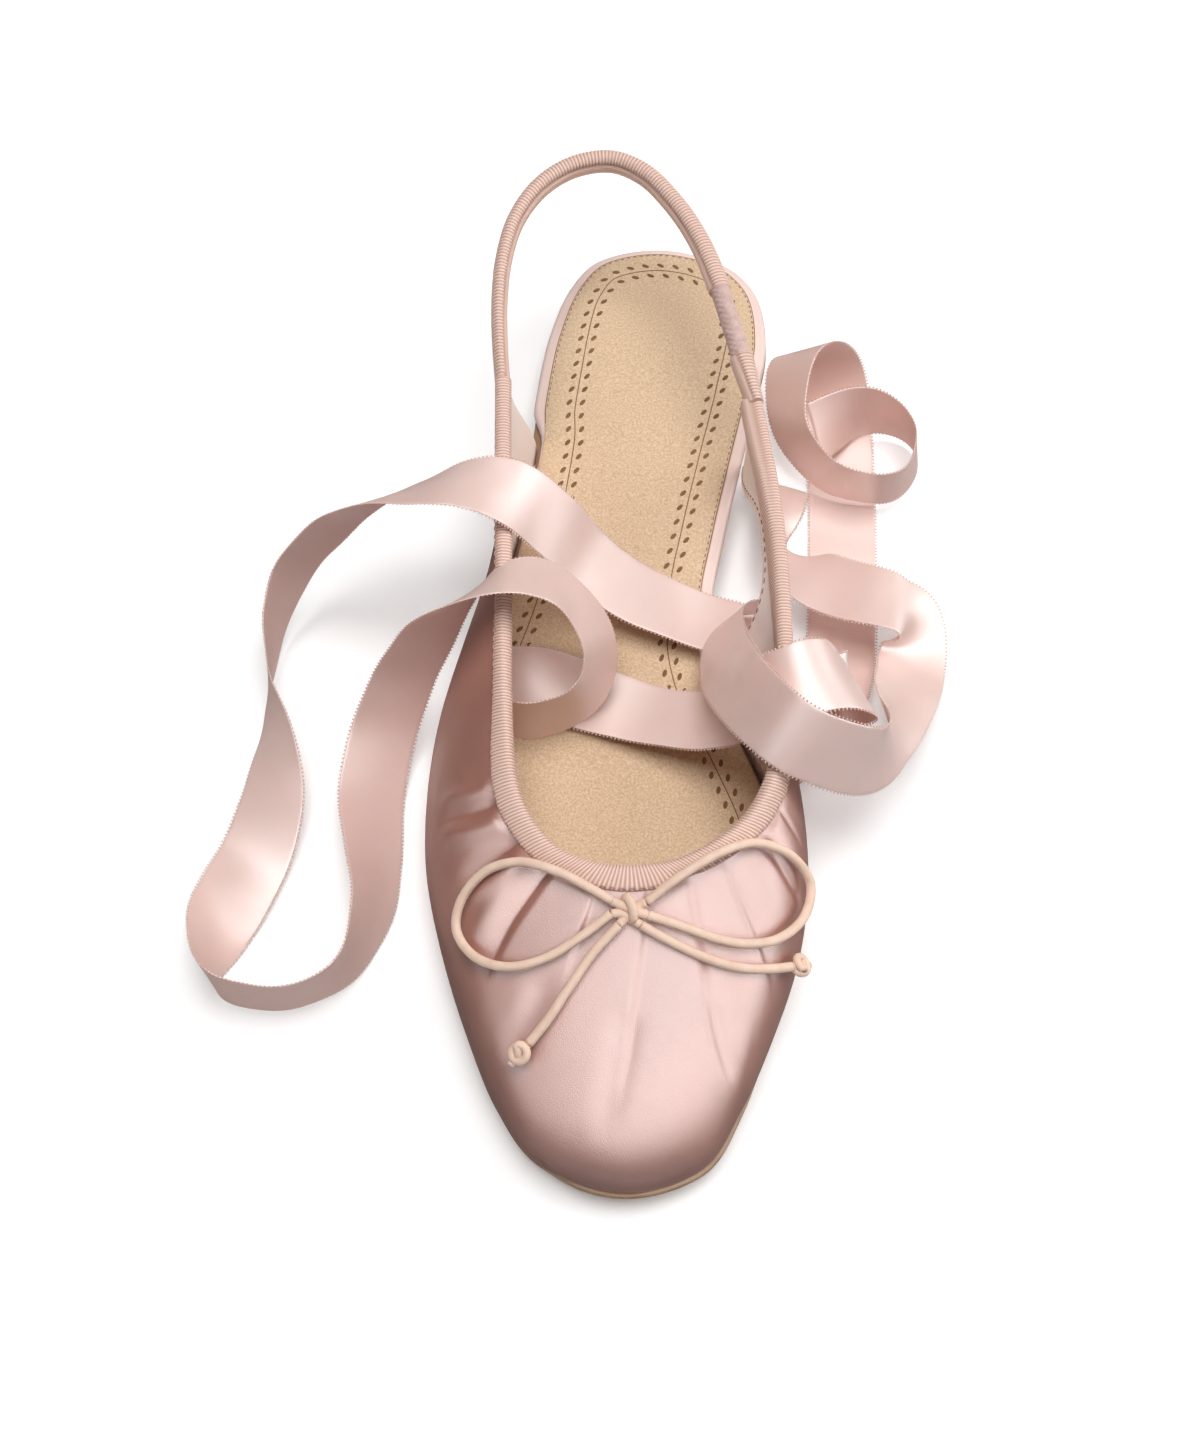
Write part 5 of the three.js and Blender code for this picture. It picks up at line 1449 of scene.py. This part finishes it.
# %% Strap
STRAP = [
    (-36.4, 55.3, 46.8),
    (-37.4, 64, 47.8),
    (-38.2, 76, 49.2),
    (-37.8, 88, 50.5),
    (-35.4, 99.4, 51.6),
    (-29.8, 109.6, 52.2),
    (-22.0, 116.0, 52.4),
    (-13.0, 118.0, 52.4),
    (-5.0, 114.4, 52.2),
    (2.6, 105.6, 51.8),
    (8.8, 94.6, 51.4),
    (13.4, 82.4, 50.6),
    (17.6, 68.0, 49.4),
    (20.6, 57.0, 48.2),
    (22.3, 50.8, 47.5),
]
STRAP_SIDES = 40
STRAP_TALL = 6.2
LATERAL_THICK = (3.6, 5.4)
MEDIAL_THICK = (5.8, 4.1)
ELASTIC_SPAN = (0.8, 0.925)
START_GAP = 0.02
END_LAP = 0.9
FOLD_AT = ((0, 0.45, 0.75, 1.0), (50, 14, 32, 66))
FOLD_WIDE = 0.14
PLAIN_FROM = (-1.7, -1.5)
PLAIN_UNTIL = (-0.05, 0.12)
PLAIN_SHADE = 0.6
FOLD_SHADE = 0.8
strap_route = smooth_curve(STRAP, 3000)
strap_run = run_along(strap_route)
full = strap_run[-1]
angle = full_turn(STRAP_SIDES)
turn = ((angle + np.pi) % (2 * np.pi) - np.pi)[None, :]


def strap_frames(start, end, step):
    at = np.linspace(start, end, max(int(round((end - start) / step)), 2) + 1)
    middle = np.stack([np.interp(at, strap_run, strap_route[:, k]) for k in range(3)], axis=1)
    middle += np.maximum(at - full, 0)[:, None] * unit(strap_route[-1] - strap_route[-2])
    along = unit(np.gradient(middle, axis=0))
    side = unit(np.cross(along, UPWARDS))
    return at, middle, side, np.cross(side, along)


def oval_rings(middle, side, up, half_wide, half_high):
    wide = np.cos(angle)[None, :] * half_wide
    high = np.sin(angle)[None, :] * half_high
    return middle[:, None] + side[:, None] * wide[..., None] + up[:, None] * high[..., None]


def strap_tape(name, node, start, end, thick):
    at, middle, side, up = strap_frames(start, end, STRAP_PITCH / RIB_STATIONS)
    rib = ribbed(at, STRAP_PITCH)[:, None]
    past = turn - np.radians(np.interp(at / full, *FOLD_AT))[:, None]
    fold = np.exp(-((past / FOLD_WIDE) ** 2))
    plain = smooth_step(*PLAIN_FROM, turn) * (1 - smooth_step(*PLAIN_UNTIL, past))
    sink = (rib - 1) * RIB_HIGH * (1 - plain) - FOLD_DEEP * fold
    half = np.interp(at, [at[0], at[-1]], thick)[:, None] / 2
    rings = oval_rings(middle, side, up, half + sink, STRAP_TALL / 2 + sink)
    # painted shade: the stored value darkens the rib grooves and the fold groove
    rib = (rib * (1 - plain) + PLAIN_SHADE * plain) * (1 - FOLD_SHADE * fold)
    dress(loft(name, rings, [tape_finish], values={"rib": rib}), "grosgrain", node)


strap_tape("strap_lateral_tape", "strap_lateral", START_GAP, full * ELASTIC_SPAN[0], LATERAL_THICK)
strap_tape("strap_medial_tape", "strap_medial", full * ELASTIC_SPAN[1], full + END_LAP, MEDIAL_THICK)

# %% [markdown]
# A short knitted elastic joins the two parts of the strap near the arch side. A real one is a
# narrow knitted tube with rows of small lumps. A wave along the tube makes the rows, and shifting
# that wave round the tube turns them into the zigzag of knitted loops.

# %% Elastic
knit_finish = cloth(
    "mauve_knit", (0.56, 0.385, 0.35), (0.69, 0.50, 0.455),
    rough=0.85, specular=0.2, thread_mm=0.3, relief_mm=0.12, sheen=0.3, drift_mm=2,
)
ELASTIC_TALL = 5.2
ELASTIC_THICK = 4.3
ELASTIC_STEP = 0.2
KNIT_PITCH = 1.5
KNIT_SHIFT = 1.6
KNIT_WALES = 4
KNIT_HIGH = 0.28
elastic_start, elastic_end = (full * share for share in ELASTIC_SPAN)
at, middle, side, up = strap_frames(elastic_start + MEET_GAP, elastic_end - MEET_GAP, ELASTIC_STEP)
shift = KNIT_SHIFT * np.sin(KNIT_WALES * angle)[None, :]
swell = KNIT_HIGH * (np.abs(np.sin(np.pi * at[:, None] / KNIT_PITCH + shift)) - 0.5)
rings = oval_rings(middle, side, up, ELASTIC_THICK / 2 + swell, ELASTIC_TALL / 2 + swell)
dress(loft("strap_elastic_knit", rings, [knit_finish]), "elastic", "strap_elastic")

# %% [markdown]
# The opening on the arch side has a turned edge sewn with brown thread. The stitches follow the cut
# on the inner side, which the camera sees through the mouth of the shoe, and on the outer side.

# %% Stitches at the side opening
OPENING = (0.762, 0.997)
ABOVE_CUT = 0.035
HIGHEST = 0.98
STITCH_OUT = WALL / 2 + 0.05
STITCH_PITCH = 2.4
STITCH_SIZE = (1.5, 0.36, 0.3)
cut_s = np.linspace(*OPENING, 160)
cut_t = np.minimum(rib_cut(cut_s) + ABOVE_CUT, HIGHEST)
cut_middle = upper_point(cut_s, cut_t)
cut_normal = upper_normal(cut_s, cut_t)
facings = [-cut_normal, cut_normal]
seams = [cut_middle + facing * STITCH_OUT for facing in facings]
dress(marks("opening_stitches", seams, dark_thread, STITCH_PITCH, STITCH_SIZE, facings), "satin")
